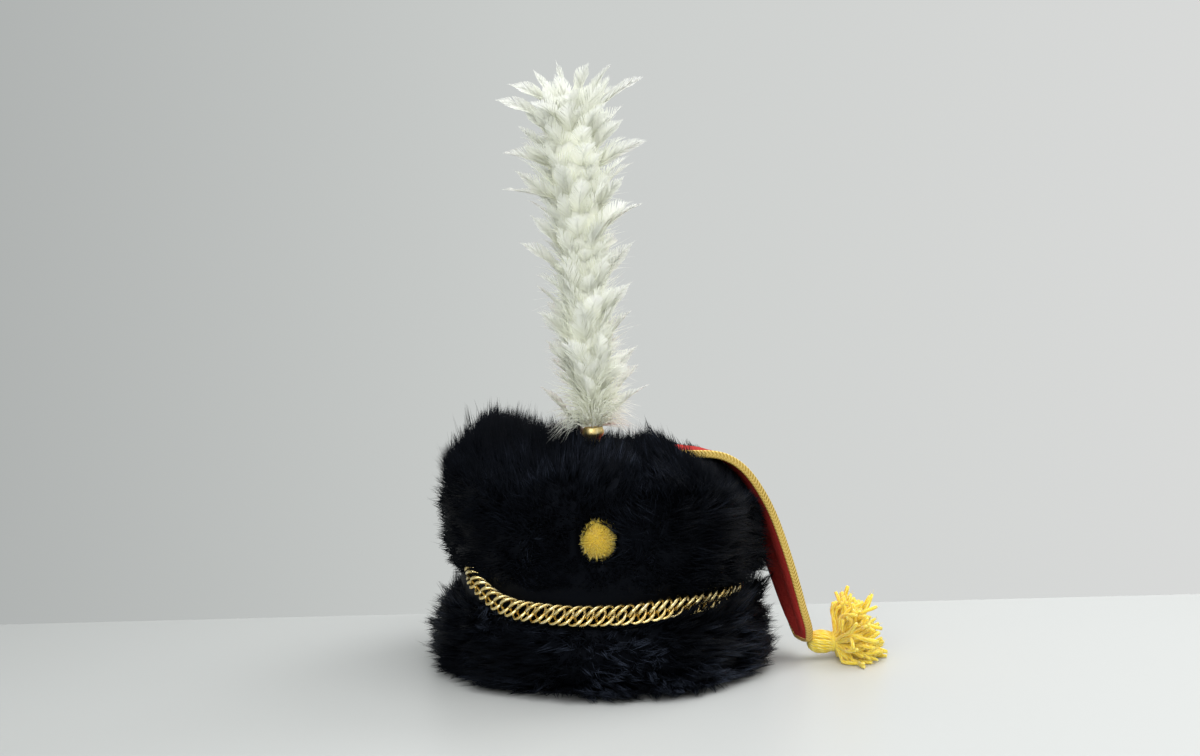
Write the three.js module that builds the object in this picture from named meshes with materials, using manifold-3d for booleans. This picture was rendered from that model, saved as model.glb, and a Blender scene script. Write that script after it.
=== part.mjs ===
// A busby: a squat fur cap with a waist, a feather plume, a cloth bag ending in a tassel, and a gilt chain.
// Millimetres, +Z up. The front faces -Y and the bag falls to +X.
// The origin is the middle of the head opening, in the plane of the rim that the hat stands on.
import * as THREE from "three";
import { mergeVertices } from "three/addons/utils/BufferGeometryUtils.js";
import Module from "manifold-3d";

const wasm = await Module();
wasm.setup();

// Driving dimensions of the cap.
const HEAD_HALF_WIDTH = 90; // inside the opening, side to side
const HEAD_HALF_LENGTH = 97; // inside the opening, front to back
const WALL = 2.5; // stiff felt
const CROWN_HEIGHT = 150; // rim to the top of the crown
const CROWN_ROUND = 8; // rounding of the crown's edge
const SEAT_GAP = 0.4; // clearance between pieces that rest on each other
const CAP_HALF_WIDTH = HEAD_HALF_WIDTH + WALL;
const CAP_HALF_LENGTH = HEAD_HALF_LENGTH + WALL;
const OVAL_STEPS = 28; // straight steps round the cap's oval

const FUR_SPLIT = 49; // height where the lower fur ends and the upper one begins

// A place just outside the crown's rounded edge, at an angle in degrees up from the wall.
function crownEdge(angle) {
  const turn = THREE.MathUtils.degToRad(angle);
  const radius = CROWN_ROUND + SEAT_GAP;
  return {
    z: CROWN_HEIGHT - CROWN_ROUND + radius * Math.sin(turn),
    out: -CROWN_ROUND + radius * Math.cos(turn),
  };
}

// The pelts without their locks: out is how far they stand off the felt at that height.
const UPPER_PELT = [
  { z: FUR_SPLIT + SEAT_GAP, out: 14 },
  { z: 68, out: 15 },
  { z: 84, out: 18 },
  { z: 104, out: 19 },
  { z: 130, out: 19 },
  { z: 150, out: 16 },
  { z: 165, out: 7 },
  { z: 171, out: -3 },
];
const UPPER_PELT_INSIDE = [
  { z: 164, out: -12 },
  { z: CROWN_HEIGHT + SEAT_GAP, out: -13 },
  ...[90, 60, 30, 0].map(crownEdge),
  { z: FUR_SPLIT + SEAT_GAP, out: SEAT_GAP },
];
const LOWER_PELT = [
  { z: 0, out: 12 },
  { z: 7, out: 18 },
  { z: 22, out: 21 },
  { z: 36, out: 19 },
  { z: FUR_SPLIT, out: 13 },
];
const LOWER_PELT_INSIDE = [
  { z: FUR_SPLIT, out: SEAT_GAP },
  { z: 0, out: SEAT_GAP },
];

// Locks of fur, a row round the cap for each entry: root is the height that they grow from, out how far
// their tips stand off the felt, and rise how far the tips end above the roots.
const UPPER_LOCKS = [
  { root: 80, out: 27, rise: -8, count: 14, width: 44 },
  { root: 103, out: 29, rise: -3, count: 14, width: 44 },
  { root: 126, out: 29, rise: 7, count: 14, width: 44 },
  { root: 146, out: 24, rise: 20, count: 14, width: 44 },
  { root: 158, out: 7, rise: 27, count: 14, width: 40 },
];
const LOWER_LOCKS = [
  { root: 37, out: 29, rise: 5, count: 14, width: 42 },
  { root: 26, out: 33, rise: -4, count: 14, width: 45 },
  { root: 12, out: 31, rise: -10, count: 14, width: 42 },
];
const LOCK_DEPTH = 0.48; // thickness of a lock as a share of its width
const LOCK_ROOT = 6; // how far off the felt a lock's root starts, inside the pelt
const LOCK_BELLY = { share: 0.66, width: 0.78 }; // the plump middle of a lock
const LOCK_SWAY = 0.05; // furthest that a tip swings sideways, in radians round the cap
const LOCK_UNEVEN = 0.16; // share by which the locks of a row differ in reach
// The fur's upper edge is lower in front of the plume, and on the bag's side by the cosine of the angle.
const FRONT_PARTING = { halfAngle: 0.34, drop: 9 };
const BAG_SIDE = { from: 0.25, full: 0.7, drop: 20 };

// The chain's outer form: an upright flat ring in the waist that rises out of it on the -X side.
const CHAIN = { height: 61, out: 18, halfHeight: 7.4, halfDepth: 2.8, bevel: 1.6, steps: 36 };
const CHAIN_RISE = { fromX: -62, toX: -104, height: 14 };

// The boss, a small wool pompom in the middle of the front.
const BOSS = { x: -3, z: 108, out: 18, halfWidth: 13, halfHeight: 15.5, halfDepth: 9 };
const BOSS_WOOL = { core: 0.88, tufts: 20, tuftRoot: 0.7, tuftWidth: 0.62 }; // shares of its half sizes

// The plume stands in its socket on the front of the crown, leaning a little to -X.
const SOCKET = { x: -5, y: -78, bore: 2.9, lip: 29, lift: 0.8, sides: 12 };
const SOCKET_OUTSIDE = [
  { radius: 6.5, along: 0 },
  { radius: 6.5, along: 3 },
  { radius: 4.2, along: 6 },
  { radius: 4.2, along: 20 },
  { radius: 7.5, along: 25 },
  { radius: 7.5, along: 28 },
  { radius: 6.3, along: 30 },
];
const PLUME = { lean: 3.2, rows: 10, perRow: 6, firstRow: 34, lastRow: 236 };
const PLUME_STEM = { radius: 2.4, foot: 2, length: 250, sides: 8 };
const PLUME_CORE = [
  { along: 28, radius: 0 },
  { along: 30, radius: 5 },
  { along: 44, radius: 13 },
  { along: 75, radius: 16 },
  { along: 150, radius: 15 },
  { along: 225, radius: 17 },
  { along: 256, radius: 9 },
  { along: 264, radius: 0 },
];
// Feathers grow longer up the plume. Lift is their angle off the stem and roll the turn of their blades,
// both in radians.
const FEATHER = { lowLength: 44, highLength: 55, lowLift: 0.62, highLift: 0.5, roll: 0.8 };
const FEATHER_BLADE = { width: 18, depth: 2.6 };
const FEATHER_UNEVEN = { turn: 0.3, length: 0.15, lift: 0.16 };
const FEATHER_CURL = { out: 10, down: 6 }; // how far a tip bends away from the straight line
const CREST = { count: 4, along: 238, length: 46, lift: 0.16 }; // the upright feathers at the very top
const FEATHER_SHAPE = [
  { share: 0, width: 0.35 },
  { share: 0.4, width: 0.85 },
  { share: 0.78, width: 0.9 },
  { share: 1, width: 0 },
];

// The bag, from its rounded head on the crown to its tip: the middle line's place, and half the width.
const BAG_LINE = [
  { x: -76, z: 152, half: 14 },
  { x: -66, z: 152, half: 37 },
  { x: -47, z: 152, half: 56 },
  { x: -20, z: 152, half: 67 },
  { x: 8, z: 152.2, half: 68 },
  { x: 36, z: 155, half: 60 },
  { x: 60, z: 160, half: 51 },
  { x: 81, z: 159.5, half: 46 },
  { x: 98, z: 148, half: 43 },
  { x: 110, z: 129, half: 40 },
  { x: 121, z: 102, half: 36 },
  { x: 130.5, z: 72, half: 31 },
  { x: 139.5, z: 43, half: 25 },
  { x: 144.5, z: 28.5, half: 18 },
  { x: 147.5, z: 20, half: 11 },
];
const BAG = { edge: 2.2, middle: 3, sections: 30, twist: -0.4, twistFrom: 0.7 };
const BRAID = { width: 5.5, depth: 1.8, from: 0.5, sections: 20, tipBulge: 1.2, cornerReach: 0.6 };
const CUT_REACH = 45; // how far a room cut in the fur runs to the outside

// The tassel lies on its side, with its head at the bag's tip.
const TASSEL = { x: 152.7, y: -2, z: 15.5, sides: 12 }; // where its head meets the bag
const TASSEL_HEAD = [
  { radius: 0, along: 0 },
  { radius: 4.1, along: 0.8 },
  { radius: 8.3, along: 5.5 },
  { radius: 9.2, along: 10 },
  { radius: 8.1, along: 15 },
  { radius: 6.4, along: 18.5 },
  { radius: 7, along: 20 },
  { radius: 5.8, along: 23 },
  { radius: 0, along: 24 },
];
const YARN = { count: 26, from: 21, length: 38, uneven: 0.12, rootWidth: 6, width: 8.5, endWidth: 6.8 };
const YARN_FAN = { lean: 1.35, bendAt: 0.42, bendShare: 0.6, lift: 7 }; // lean in radians, lift at the middle
const FLOOR = 0; // the surface that the hat stands on

const COLOURS = {
  felt: { color: 0x17161a, roughness: 0.95, metalness: 0 },
  fur: { color: 0x0b0b0e, roughness: 0.9, metalness: 0 },
  gilt: { color: 0xd9ae45, roughness: 0.3, metalness: 1 },
  yellowWool: { color: 0xe6bd2f, roughness: 0.95, metalness: 0 },
  feather: { color: 0xeceadb, roughness: 0.8, metalness: 0 },
  redCloth: { color: 0x8e1f22, roughness: 0.75, metalness: 0 },
  goldBraid: { color: 0xc9a13a, roughness: 0.45, metalness: 0.6 },
};

// Small tools.
const vec = (x, y, z) => new THREE.Vector3(x, y, z);
const mix = THREE.MathUtils.lerp;
const UP = vec(0, 0, 1);
const GOLDEN_TURN = Math.PI * (3 - Math.sqrt(5));
const range = (n) => Array.from({ length: n }, (_, i) => i);

// An even scatter between -1 and 1 that is the same on each run.
function scatter(seed) {
  const value = Math.sin(seed * 127.1 + 3.7) * 43758.5453;
  return 2 * (value - Math.floor(value)) - 1;
}

// A closed surface through rings of points, each ring anticlockwise as seen from the next one.
// A ring of one point is a tip, and looped rings join last to first.
function loft(rings, looped = false) {
  const starts = [];
  let total = 0;
  for (const ring of rings) {
    starts.push(total);
    total += ring.length;
  }
  const index = [];
  const at = (ring, k) => starts[ring] + (k % rings[ring].length);
  const joins = looped ? rings.length : rings.length - 1;
  for (let a = 0; a < joins; a += 1) {
    const b = (a + 1) % rings.length;
    const steps = Math.max(rings[a].length, rings[b].length);
    for (let k = 0; k < steps; k += 1) {
      if (rings[a].length > 1) index.push(at(a, k), at(a, k + 1), at(b, k + 1));
      if (rings[b].length > 1) index.push(at(a, k), at(b, k + 1), at(b, k));
    }
  }
  if (!looped) {
    const last = rings.length - 1;
    for (let k = 1; k < rings[0].length - 1; k += 1) index.push(at(0, 0), at(0, k + 1), at(0, k));
    for (let k = 1; k < rings[last].length - 1; k += 1) index.push(at(last, 0), at(last, k), at(last, k + 1));
  }
  const geometry = new THREE.BufferGeometry();
  const places = rings.flat().flatMap((point) => point.toArray());
  geometry.setAttribute("position", new THREE.Float32BufferAttribute(places, 3));
  geometry.setIndex(index);
  return geometry;
}

// A strand along some centres: an oval section, widths across the given direction, depths the other way.
// A last width of zero ends it in a tip.
function strand(centres, across, widths, depths, sides) {
  const rings = centres.map((centre, i) => {
    if (widths[i] === 0) return [centre.clone()];
    const before = centres[Math.max(0, i - 1)];
    const after = centres[Math.min(centres.length - 1, i + 1)];
    const along = after.clone().sub(before).normalize();
    const u = across.clone().addScaledVector(along, -across.dot(along)).normalize();
    const v = along.clone().cross(u);
    return range(sides).map((k) => {
      const turn = (2 * Math.PI * k) / sides;
      return centre
        .clone()
        .addScaledVector(u, (Math.cos(turn) * widths[i]) / 2)
        .addScaledVector(v, (Math.sin(turn) * depths[i]) / 2);
    });
  });
  return loft(rings);
}

// A turned form about +Z from a profile of [radius, height] pairs.
function turned(profile, steps) {
  const points = profile.map(([radius, height]) => new THREE.Vector2(radius, height));
  return new THREE.LatheGeometry(points, steps).rotateX(Math.PI / 2);
}

// A geometry as a solid that can be joined and cut.
function solid(geometry) {
  const bare = geometry.clone();
  bare.deleteAttribute("normal");
  bare.deleteAttribute("uv");
  const merged = mergeVertices(bare, 1e-4);
  return new wasm.Manifold(
    new wasm.Mesh({
      numProp: 3,
      vertProperties: new Float32Array(merged.attributes.position.array),
      triVerts: new Uint32Array(merged.index.array),
    }),
  );
}

function fuse(geometries) {
  return geometries.map(solid).reduce((whole, piece) => whole.add(piece));
}

// The largest body of a solid: a cut can leave crumbs.
function mainBody(shape) {
  return shape.decompose().reduce((best, body) => (body.volume() > best.volume() ? body : best));
}

function geometryOf(shape) {
  const { numProp, vertProperties, triVerts } = shape.getMesh();
  const geometry = new THREE.BufferGeometry();
  const points = new THREE.InterleavedBuffer(vertProperties, numProp);
  geometry.setAttribute("position", new THREE.InterleavedBufferAttribute(points, 3, 0));
  geometry.setIndex(new THREE.Uint32BufferAttribute(triVerts, 1));
  return geometry;
}

function piece(name, geometry, look) {
  const mesh = new THREE.Mesh(geometry, new THREE.MeshStandardMaterial(look));
  mesh.name = name;
  return mesh;
}

// A point round the cap, standing off the felt.
function roundCap(angle, out, height) {
  return vec((CAP_HALF_WIDTH + out) * Math.cos(angle), (CAP_HALF_LENGTH + out) * Math.sin(angle), height);
}

function ovalRing(out, height) {
  return range(OVAL_STEPS).map((i) => roundCap((2 * Math.PI * i) / OVAL_STEPS, out, height));
}

// The cap: one felt wall with a rounded crown, open at the head.
function capShell() {
  const corner = (radius, centre) =>
    range(4).map((i) => {
      const turn = (Math.PI / 2) * (i / 3);
      return [centre + radius * Math.cos(turn), CROWN_HEIGHT - CROWN_ROUND + radius * Math.sin(turn)];
    });
  const centre = CAP_HALF_WIDTH - CROWN_ROUND;
  const profile = [
    [0, CROWN_HEIGHT - WALL],
    ...corner(CROWN_ROUND - WALL, centre).reverse(),
    [HEAD_HALF_WIDTH, 0],
    [CAP_HALF_WIDTH, 0],
    ...corner(CROWN_ROUND, centre),
    [0, CROWN_HEIGHT],
  ];
  return turned(profile, OVAL_STEPS).scale(1, CAP_HALF_LENGTH / CAP_HALF_WIDTH, 1);
}

// A pelt sleeve: its outside from the bottom up, then its inside back down.
function pelt(outside, inside) {
  return loft([...outside, ...inside].map(({ z, out }) => ovalRing(out, z)), true);
}

// How much lower the fur's upper edge is in front of the plume and where the bag presses it.
function loweredAt(angle) {
  const off = Math.min(1, Math.abs(angle - 1.5 * Math.PI) / FRONT_PARTING.halfAngle);
  const parted = 0.5 + 0.5 * Math.cos(Math.PI * off);
  const pressed = THREE.MathUtils.smoothstep(Math.cos(angle), BAG_SIDE.from, BAG_SIDE.full);
  return FRONT_PARTING.drop * parted + BAG_SIDE.drop * pressed;
}

// One row of locks: three-sided tufts with a plump middle that taper to their tips.
function lockRow({ root, out, rise, count, width }, row) {
  return range(count).map((i) => {
    const seed = row * 97 + i;
    const angle = (2 * Math.PI * (i + 0.5 * (row % 2))) / count;
    const reach = 1 + LOCK_UNEVEN * scatter(seed);
    const drop = root + rise > CROWN_HEIGHT ? loweredAt(angle) : 0;
    const tipHeight = Math.max(FLOOR, root + rise * reach - drop);
    const start = roundCap(angle, Math.min(LOCK_ROOT, out / 2), root);
    const tip = roundCap(angle + LOCK_SWAY * scatter(seed + 0.5), out * Math.min(1, reach), tipHeight);
    const middle = start.clone().lerp(tip, LOCK_BELLY.share);
    const across = vec(-Math.sin(angle), Math.cos(angle), 0);
    const widths = [width, width * LOCK_BELLY.width, 0];
    return strand([start, middle, tip], across, widths, widths.map((w) => w * LOCK_DEPTH), 3);
  });
}

// The fur is cut back where the chain, the boss and the bag press it flat.
function fur(outside, inside, rows, cuts) {
  const whole = fuse([pelt(outside, inside), ...rows.flatMap(lockRow)]);
  return geometryOf(mainBody(cuts.reduce((shape, cut) => shape.subtract(solid(cut)), whole)));
}

// The chain's ring: a flat eight-sided section carried round the waist.
function chainRing(inner, outer, halfHeight, bevel) {
  const section = [
    [inner, halfHeight - bevel],
    [inner + bevel, halfHeight],
    [outer - bevel, halfHeight],
    [outer, halfHeight - bevel],
    [outer, -halfHeight + bevel],
    [outer - bevel, -halfHeight],
    [inner + bevel, -halfHeight],
    [inner, -halfHeight + bevel],
  ];
  const rings = range(CHAIN.steps).map((i) => {
    const angle = (2 * Math.PI * i) / CHAIN.steps;
    const { x } = roundCap(angle, CHAIN.out, CHAIN.height);
    const risen = CHAIN_RISE.height * THREE.MathUtils.smoothstep(-x, -CHAIN_RISE.fromX, -CHAIN_RISE.toX);
    return section.map(([out, up]) => roundCap(angle, CHAIN.out + out, CHAIN.height + risen + up));
  });
  return loft(rings, true);
}

function chinChain() {
  return chainRing(-CHAIN.halfDepth, CHAIN.halfDepth, CHAIN.halfHeight, CHAIN.bevel);
}

// The room that the chain takes in the fur, open to the outside.
function chainRoom() {
  return chainRing(-CHAIN.halfDepth - SEAT_GAP, CUT_REACH, CHAIN.halfHeight + SEAT_GAP, SEAT_GAP);
}

const bossCentre = roundCap(1.5 * Math.PI, BOSS.out, BOSS.z).setX(BOSS.x);

// The boss: a flattened ball covered with short tufts.
function boss() {
  const scale = [BOSS.halfWidth, BOSS.halfDepth, BOSS.halfHeight];
  const core = new THREE.SphereGeometry(BOSS_WOOL.core, 8, 6).rotateX(Math.PI / 2);
  const tufts = range(BOSS_WOOL.tufts).map((i) => {
    const height = 1 - (2 * (i + 0.5)) / BOSS_WOOL.tufts;
    const ring = Math.sqrt(1 - height * height);
    const outward = vec(ring * Math.cos(GOLDEN_TURN * i), ring * Math.sin(GOLDEN_TURN * i), height);
    const across = outward.clone().cross(Math.abs(height) > 0.9 ? vec(1, 0, 0) : UP);
    const centres = [BOSS_WOOL.tuftRoot, 1].map((reach) => outward.clone().multiplyScalar(reach));
    const widths = [BOSS_WOOL.tuftWidth, 0];
    return strand(centres, across, widths, widths, 3);
  });
  return geometryOf(fuse([core, ...tufts]))
    .scale(...scale)
    .translate(...bossCentre.toArray());
}

// The room that the boss takes in the fur, open to the front.
function bossRoom() {
  const width = BOSS.halfWidth + SEAT_GAP;
  const height = BOSS.halfHeight + SEAT_GAP;
  const depth = BOSS.halfDepth + SEAT_GAP;
  const roundBack = [22.5, 45, 67.5, 90].map((angle) => {
    const turn = THREE.MathUtils.degToRad(angle);
    return [Math.sin(turn), -Math.cos(turn)];
  });
  const profile = [[0, -1], ...roundBack, [1, 4], [0, 4]];
  return turned(profile, 16)
    .rotateX(Math.PI / 2)
    .scale(width, depth, height)
    .translate(...bossCentre.toArray());
}

// The socket: a turned gilt cup with a bore for the plume's stem.
function plumeSocket() {
  const { bore, lip, sides } = SOCKET;
  const outside = SOCKET_OUTSIDE.map(({ radius, along }) => [radius, along]);
  return turned([[bore, 0], ...outside, [bore, lip], [bore, 0]], sides);
}

// A feather: a flat blade that grows up along the stem and curls outwards.
function feather(angle, along, length, lift, roll) {
  const outward = vec(Math.cos(angle), Math.sin(angle), 0);
  const across = vec(-Math.sin(angle), Math.cos(angle), Math.tan(roll));
  const centres = FEATHER_SHAPE.map(({ share }) => {
    const off = PLUME_STEM.radius + length * share * Math.sin(lift) + FEATHER_CURL.out * share * share;
    const up = along + length * share * Math.cos(lift) - FEATHER_CURL.down * share * share;
    return outward.clone().multiplyScalar(off).addScaledVector(UP, up);
  });
  const widths = FEATHER_SHAPE.map((s) => s.width * FEATHER_BLADE.width);
  const depths = FEATHER_SHAPE.map((s) => s.width * FEATHER_BLADE.depth);
  return strand(centres, across, widths, depths, 3);
}

// The plume: a stem, the packed quills round it, and rows of feathers that fan out, in its own upright frame.
function plume() {
  const { radius, foot, length: stemLength, sides } = PLUME_STEM;
  const stem = new THREE.CylinderGeometry(radius, radius, stemLength, sides)
    .rotateX(Math.PI / 2)
    .translate(0, 0, foot + stemLength / 2);
  const core = turned(PLUME_CORE.map((ring) => [ring.radius, ring.along]), 10);
  const rows = range(PLUME.rows).flatMap((row) => {
    const high = row / (PLUME.rows - 1);
    return range(PLUME.perRow).map((i) => {
      const seed = row * 31 + i;
      const turn = i + 0.5 * (row % 2) + FEATHER_UNEVEN.turn * scatter(seed);
      const angle = (2 * Math.PI * turn) / PLUME.perRow;
      const uneven = 1 + FEATHER_UNEVEN.length * scatter(seed + 0.25);
      const length = mix(FEATHER.lowLength, FEATHER.highLength, high) * uneven;
      const lift = mix(FEATHER.lowLift, FEATHER.highLift, high) + FEATHER_UNEVEN.lift * scatter(seed + 0.75);
      const roll = FEATHER.roll * Math.sign(scatter(seed + 0.6));
      return feather(angle, mix(PLUME.firstRow, PLUME.lastRow, high), length, lift, roll);
    });
  });
  const crest = range(CREST.count).map((i) =>
    feather((2 * Math.PI * (i + 0.25)) / CREST.count, CREST.along, CREST.length, CREST.lift, 0),
  );
  return geometryOf(mainBody(fuse([stem, core, ...rows, ...crest])));
}

// The bag's cross-section at a share of its length: middle point, directions across and through, half width.
const bagCurve = new THREE.CatmullRomCurve3(BAG_LINE.map(({ x, z }) => vec(x, 0, z)));

function bagAt(share) {
  const along = bagCurve.getTangent(share);
  const place = share * (BAG_LINE.length - 1);
  const row = Math.min(BAG_LINE.length - 2, Math.floor(place));
  const half = mix(BAG_LINE[row].half, BAG_LINE[row + 1].half, place - row);
  const turn = BAG.twist * THREE.MathUtils.smoothstep(share, BAG.twistFrom, 1);
  const across = vec(0, 1, 0).applyAxisAngle(along, turn);
  const through = along.clone().cross(across);
  return { middle: bagCurve.getPoint(share), along, across, through, half };
}

// A doubled cloth panel: thicker in the middle than at its edges, and turned near its tip so that the front
// edge stands out. Positive through is the outer side.
function bagPanel(inner, outer, spare) {
  const rings = range(BAG.sections + 1).map((i) => {
    const { middle, across, through, half } = bagAt(i / BAG.sections);
    const wide = half + spare;
    const puff = (BAG.middle - BAG.edge) / 2;
    const section = [
      [-1, -inner],
      [0, -inner - puff],
      [1, -inner],
      [1, outer],
      [0, outer + puff],
      [-1, outer],
    ];
    return section.map(([side, depth]) =>
      middle
        .clone()
        .addScaledVector(across, side * wide)
        .addScaledVector(through, depth),
    );
  });
  return loft(rings);
}

function bag() {
  return bagPanel(BAG.edge / 2, BAG.edge / 2, 0);
}

// The room that the bag and its braid take over the fur, open to the outside.
function bagRoom() {
  return bagPanel(BRAID.width / 2 + SEAT_GAP, CUT_REACH, BRAID.depth + 2 * SEAT_GAP);
}

// The braid: one flat band down the front edge, round the tip and up the back edge.
function bagBraid() {
  const offset = SEAT_GAP + BRAID.depth / 2;
  const downEdge = (side) =>
    range(BRAID.sections + 1).map((i) => {
      const at = bagAt(mix(BRAID.from, 1, i / BRAID.sections));
      const outward = at.across.clone().multiplyScalar(side);
      const centre = at.middle.clone().addScaledVector(outward, at.half + offset);
      return { centre, outward, through: at.through };
    });
  const tip = bagAt(1);
  const roundTip = [-0.5, 0.5].map((side) => ({
    centre: tip.middle
      .clone()
      .addScaledVector(tip.along, offset + BRAID.tipBulge)
      .addScaledVector(tip.across, side * tip.half),
    outward: tip.along,
    through: tip.through,
  }));
  const corners = [-1, 1].map((side) => ({
    centre: tip.middle
      .clone()
      .addScaledVector(tip.along, offset)
      .addScaledVector(tip.across, side * (tip.half + offset * BRAID.cornerReach)),
    outward: tip.along.clone().addScaledVector(tip.across, side).normalize(),
    through: tip.through,
  }));
  const stations = [...downEdge(-1), corners[0], ...roundTip, corners[1], ...downEdge(1).reverse()];
  const rings = stations.map(({ centre, outward, through }) =>
    [
      [-1, 1],
      [1, 1],
      [1, -1],
      [-1, -1],
    ].map(([a, b]) =>
      centre
        .clone()
        .addScaledVector(outward, (a * BRAID.depth) / 2)
        .addScaledVector(through, (b * BRAID.width) / 2),
    ),
  );
  return loft(rings);
}

// The tassel: a wound head, its neck tie, and yarn strands that fan out and lie on the floor.
function tassel() {
  const profile = TASSEL_HEAD.map(({ radius, along }) => [radius, along]);
  const head = turned(profile, TASSEL.sides)
    .rotateY(Math.PI / 2)
    .translate(TASSEL.x, TASSEL.y, TASSEL.z);
  const neck = vec(TASSEL.x + YARN.from, TASSEL.y, TASSEL.z + 1);
  const across = vec(0, 1, 0);
  const widths = [YARN.rootWidth, YARN.width, YARN.endWidth];
  const yarns = range(YARN.count).map((i) => {
    const lean = YARN_FAN.lean * Math.sqrt((i + 0.5) / YARN.count);
    const roll = GOLDEN_TURN * i;
    const aim = vec(Math.cos(lean), Math.sin(lean) * Math.cos(roll), Math.sin(lean) * Math.sin(roll));
    const length = YARN.length * (0.9 + YARN.uneven * scatter(i));
    const start = vec(1, aim.y * YARN_FAN.bendShare, aim.z * YARN_FAN.bendShare);
    const bend = neck.clone().addScaledVector(start, length * YARN_FAN.bendAt);
    const end = neck.clone().addScaledVector(aim, length);
    end.z += YARN_FAN.lift * (1 - lean / 2);
    const centres = [neck, bend, end].map((p) => p.clone().setZ(Math.max(FLOOR + YARN.width / 2, p.z)));
    return strand(centres, across, widths, widths, 4);
  });
  return geometryOf(mainBody(fuse([head, ...yarns])));
}

// The whole hat.
const busby = new THREE.Group();
busby.add(piece("cap_shell", capShell(), COLOURS.felt));
const upperCuts = [chainRoom(), bossRoom(), bagRoom()];
busby.add(piece("fur_upper", fur(UPPER_PELT, UPPER_PELT_INSIDE, UPPER_LOCKS, upperCuts), COLOURS.fur));
busby.add(piece("fur_lower", fur(LOWER_PELT, LOWER_PELT_INSIDE, LOWER_LOCKS, [chainRoom()]), COLOURS.fur));
busby.add(piece("chin_chain", chinChain(), COLOURS.gilt));
busby.add(piece("boss", boss(), COLOURS.yellowWool));

const plumeGroup = new THREE.Group();
plumeGroup.position.set(SOCKET.x, SOCKET.y, CROWN_HEIGHT + SOCKET.lift);
plumeGroup.rotation.y = THREE.MathUtils.degToRad(-PLUME.lean);
plumeGroup.add(piece("plume_socket", plumeSocket(), COLOURS.gilt));
plumeGroup.add(piece("plume", plume(), COLOURS.feather));
busby.add(plumeGroup);

busby.add(piece("bag", bag(), COLOURS.redCloth));
busby.add(piece("bag_braid", bagBraid(), COLOURS.goldBraid));
busby.add(piece("tassel", tassel(), COLOURS.yellowWool));

export default busby;
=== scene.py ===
"""A busby: a squat black fur cap with a feather plume, a red cloth bag with a tassel, and a gilt chin chain.

Metres, +Z up. The front faces -Y, the bag falls to +X, and the rim stands on the floor at z = 0.
"""
import math

import bpy
import numpy as np
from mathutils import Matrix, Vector


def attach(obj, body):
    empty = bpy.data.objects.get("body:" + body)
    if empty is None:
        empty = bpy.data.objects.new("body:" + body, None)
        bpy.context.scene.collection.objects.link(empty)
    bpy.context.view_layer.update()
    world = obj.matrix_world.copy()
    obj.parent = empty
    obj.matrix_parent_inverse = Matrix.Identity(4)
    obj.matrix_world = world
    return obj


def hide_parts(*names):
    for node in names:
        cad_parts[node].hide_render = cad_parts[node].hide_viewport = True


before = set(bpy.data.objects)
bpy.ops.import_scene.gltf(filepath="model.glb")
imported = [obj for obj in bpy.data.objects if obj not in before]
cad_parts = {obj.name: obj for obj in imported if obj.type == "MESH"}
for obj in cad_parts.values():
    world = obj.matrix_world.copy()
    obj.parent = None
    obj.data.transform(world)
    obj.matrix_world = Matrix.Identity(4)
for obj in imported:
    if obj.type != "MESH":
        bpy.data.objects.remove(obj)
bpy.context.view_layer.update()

MM = 0.001
TURN = 2 * math.pi
FRONT = 1.5 * math.pi  # the angle round the cap that faces the viewer
GOLDEN_TURN = math.pi * (3 - math.sqrt(5))  # a step round that spreads things evenly
UP = np.array([0.0, 0.0, 1.0])
UPPER, LOWER = 1, -1  # the fur above the chain and the fur below it
STRAND_SIDES = 3


def columns(names, *rows):
    """A table's columns by name, from its rows. They are in millimetres, and angles in degrees."""
    return dict(zip(names.split(), np.array(rows).T))


# The felt cap.
CAP_HALF_WIDTH = 92.5 * MM
CAP_HALF_LENGTH = 99.5 * MM
FELT = 2.5 * MM
CROWN_HEIGHT = 150 * MM
CROWN_ROUND = 8 * MM
CAP_MEAN_RADIUS = (CAP_HALF_WIDTH + CAP_HALF_LENGTH) / 2

# The coats of fur, from the waist outwards: where hairs grow, as a height and a distance off the felt, and
# where their tips end.
COATS = {
    UPPER: columns(
        "root_z root_out tip_z tip_out",
        (70, 6, 68, 15), (78, 10, 68, 22), (89, 12, 77, 27), (102, 13, 93, 29), (114, 13, 111, 30),
        (125, 12, 131, 30), (137, 12, 149, 27), (147, 10, 163, 19), (155, 5, 176, 8), (163, -1, 186, -3),
        (168, -6, 191, -12), (166, -11, 185, -22),
    ),
    LOWER: columns(
        "root_z root_out tip_z tip_out",
        (53, 7, 55, 15), (48, 9, 52, 20), (43, 11, 46, 27), (37, 12, 36, 32), (30, 13, 23, 35),
        (23, 13, 10, 35), (14, 13, 1.2, 37), (7, 14, 0.8, 36), (3, 12, 0.6, 29),
    ),
}
# The skins that the hairs grow through, outside from the bottom up and then inside back down.
UPPER_SKIN = columns(
    "z out",
    (49.4, 12), (60, 12.5), (70, 13), (80, 16), (95, 18.5), (112, 19), (130, 18.5), (145, 16), (155, 9.5),
    (163.5, 3), (169, -5), (167, -11), (158, -13.5), (150.5, -12), (148, -2), (140, 0.5), (110, 0.5),
    (80, 0.5), (49.4, 0.5),
)
LOWER_SKIN = columns(
    "z out",
    (0.3, 10), (5, 16.5), (13, 20), (23, 21), (33, 19.5), (42, 15.5), (49, 12), (49, 0.5), (25, 0.5),
    (0.3, 0.5),
)
# A skin is uneven where it lies off the felt. Its outside follows the fur's upper edge, its lip keeps a
# share of its height over the crown, and it is hollow behind the boss.
SKIN = {"steps": 128, "uneven": 1.2 * MM, "uneven_out": (2 * MM, 12 * MM), "foot": 0.3 * MM,
        "outside": (1, 0.6), "lip": 0.04, "lip_over": 148 * MM, "hollow": (1.0, 1.25), "hollow_out": 8 * MM}
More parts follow.
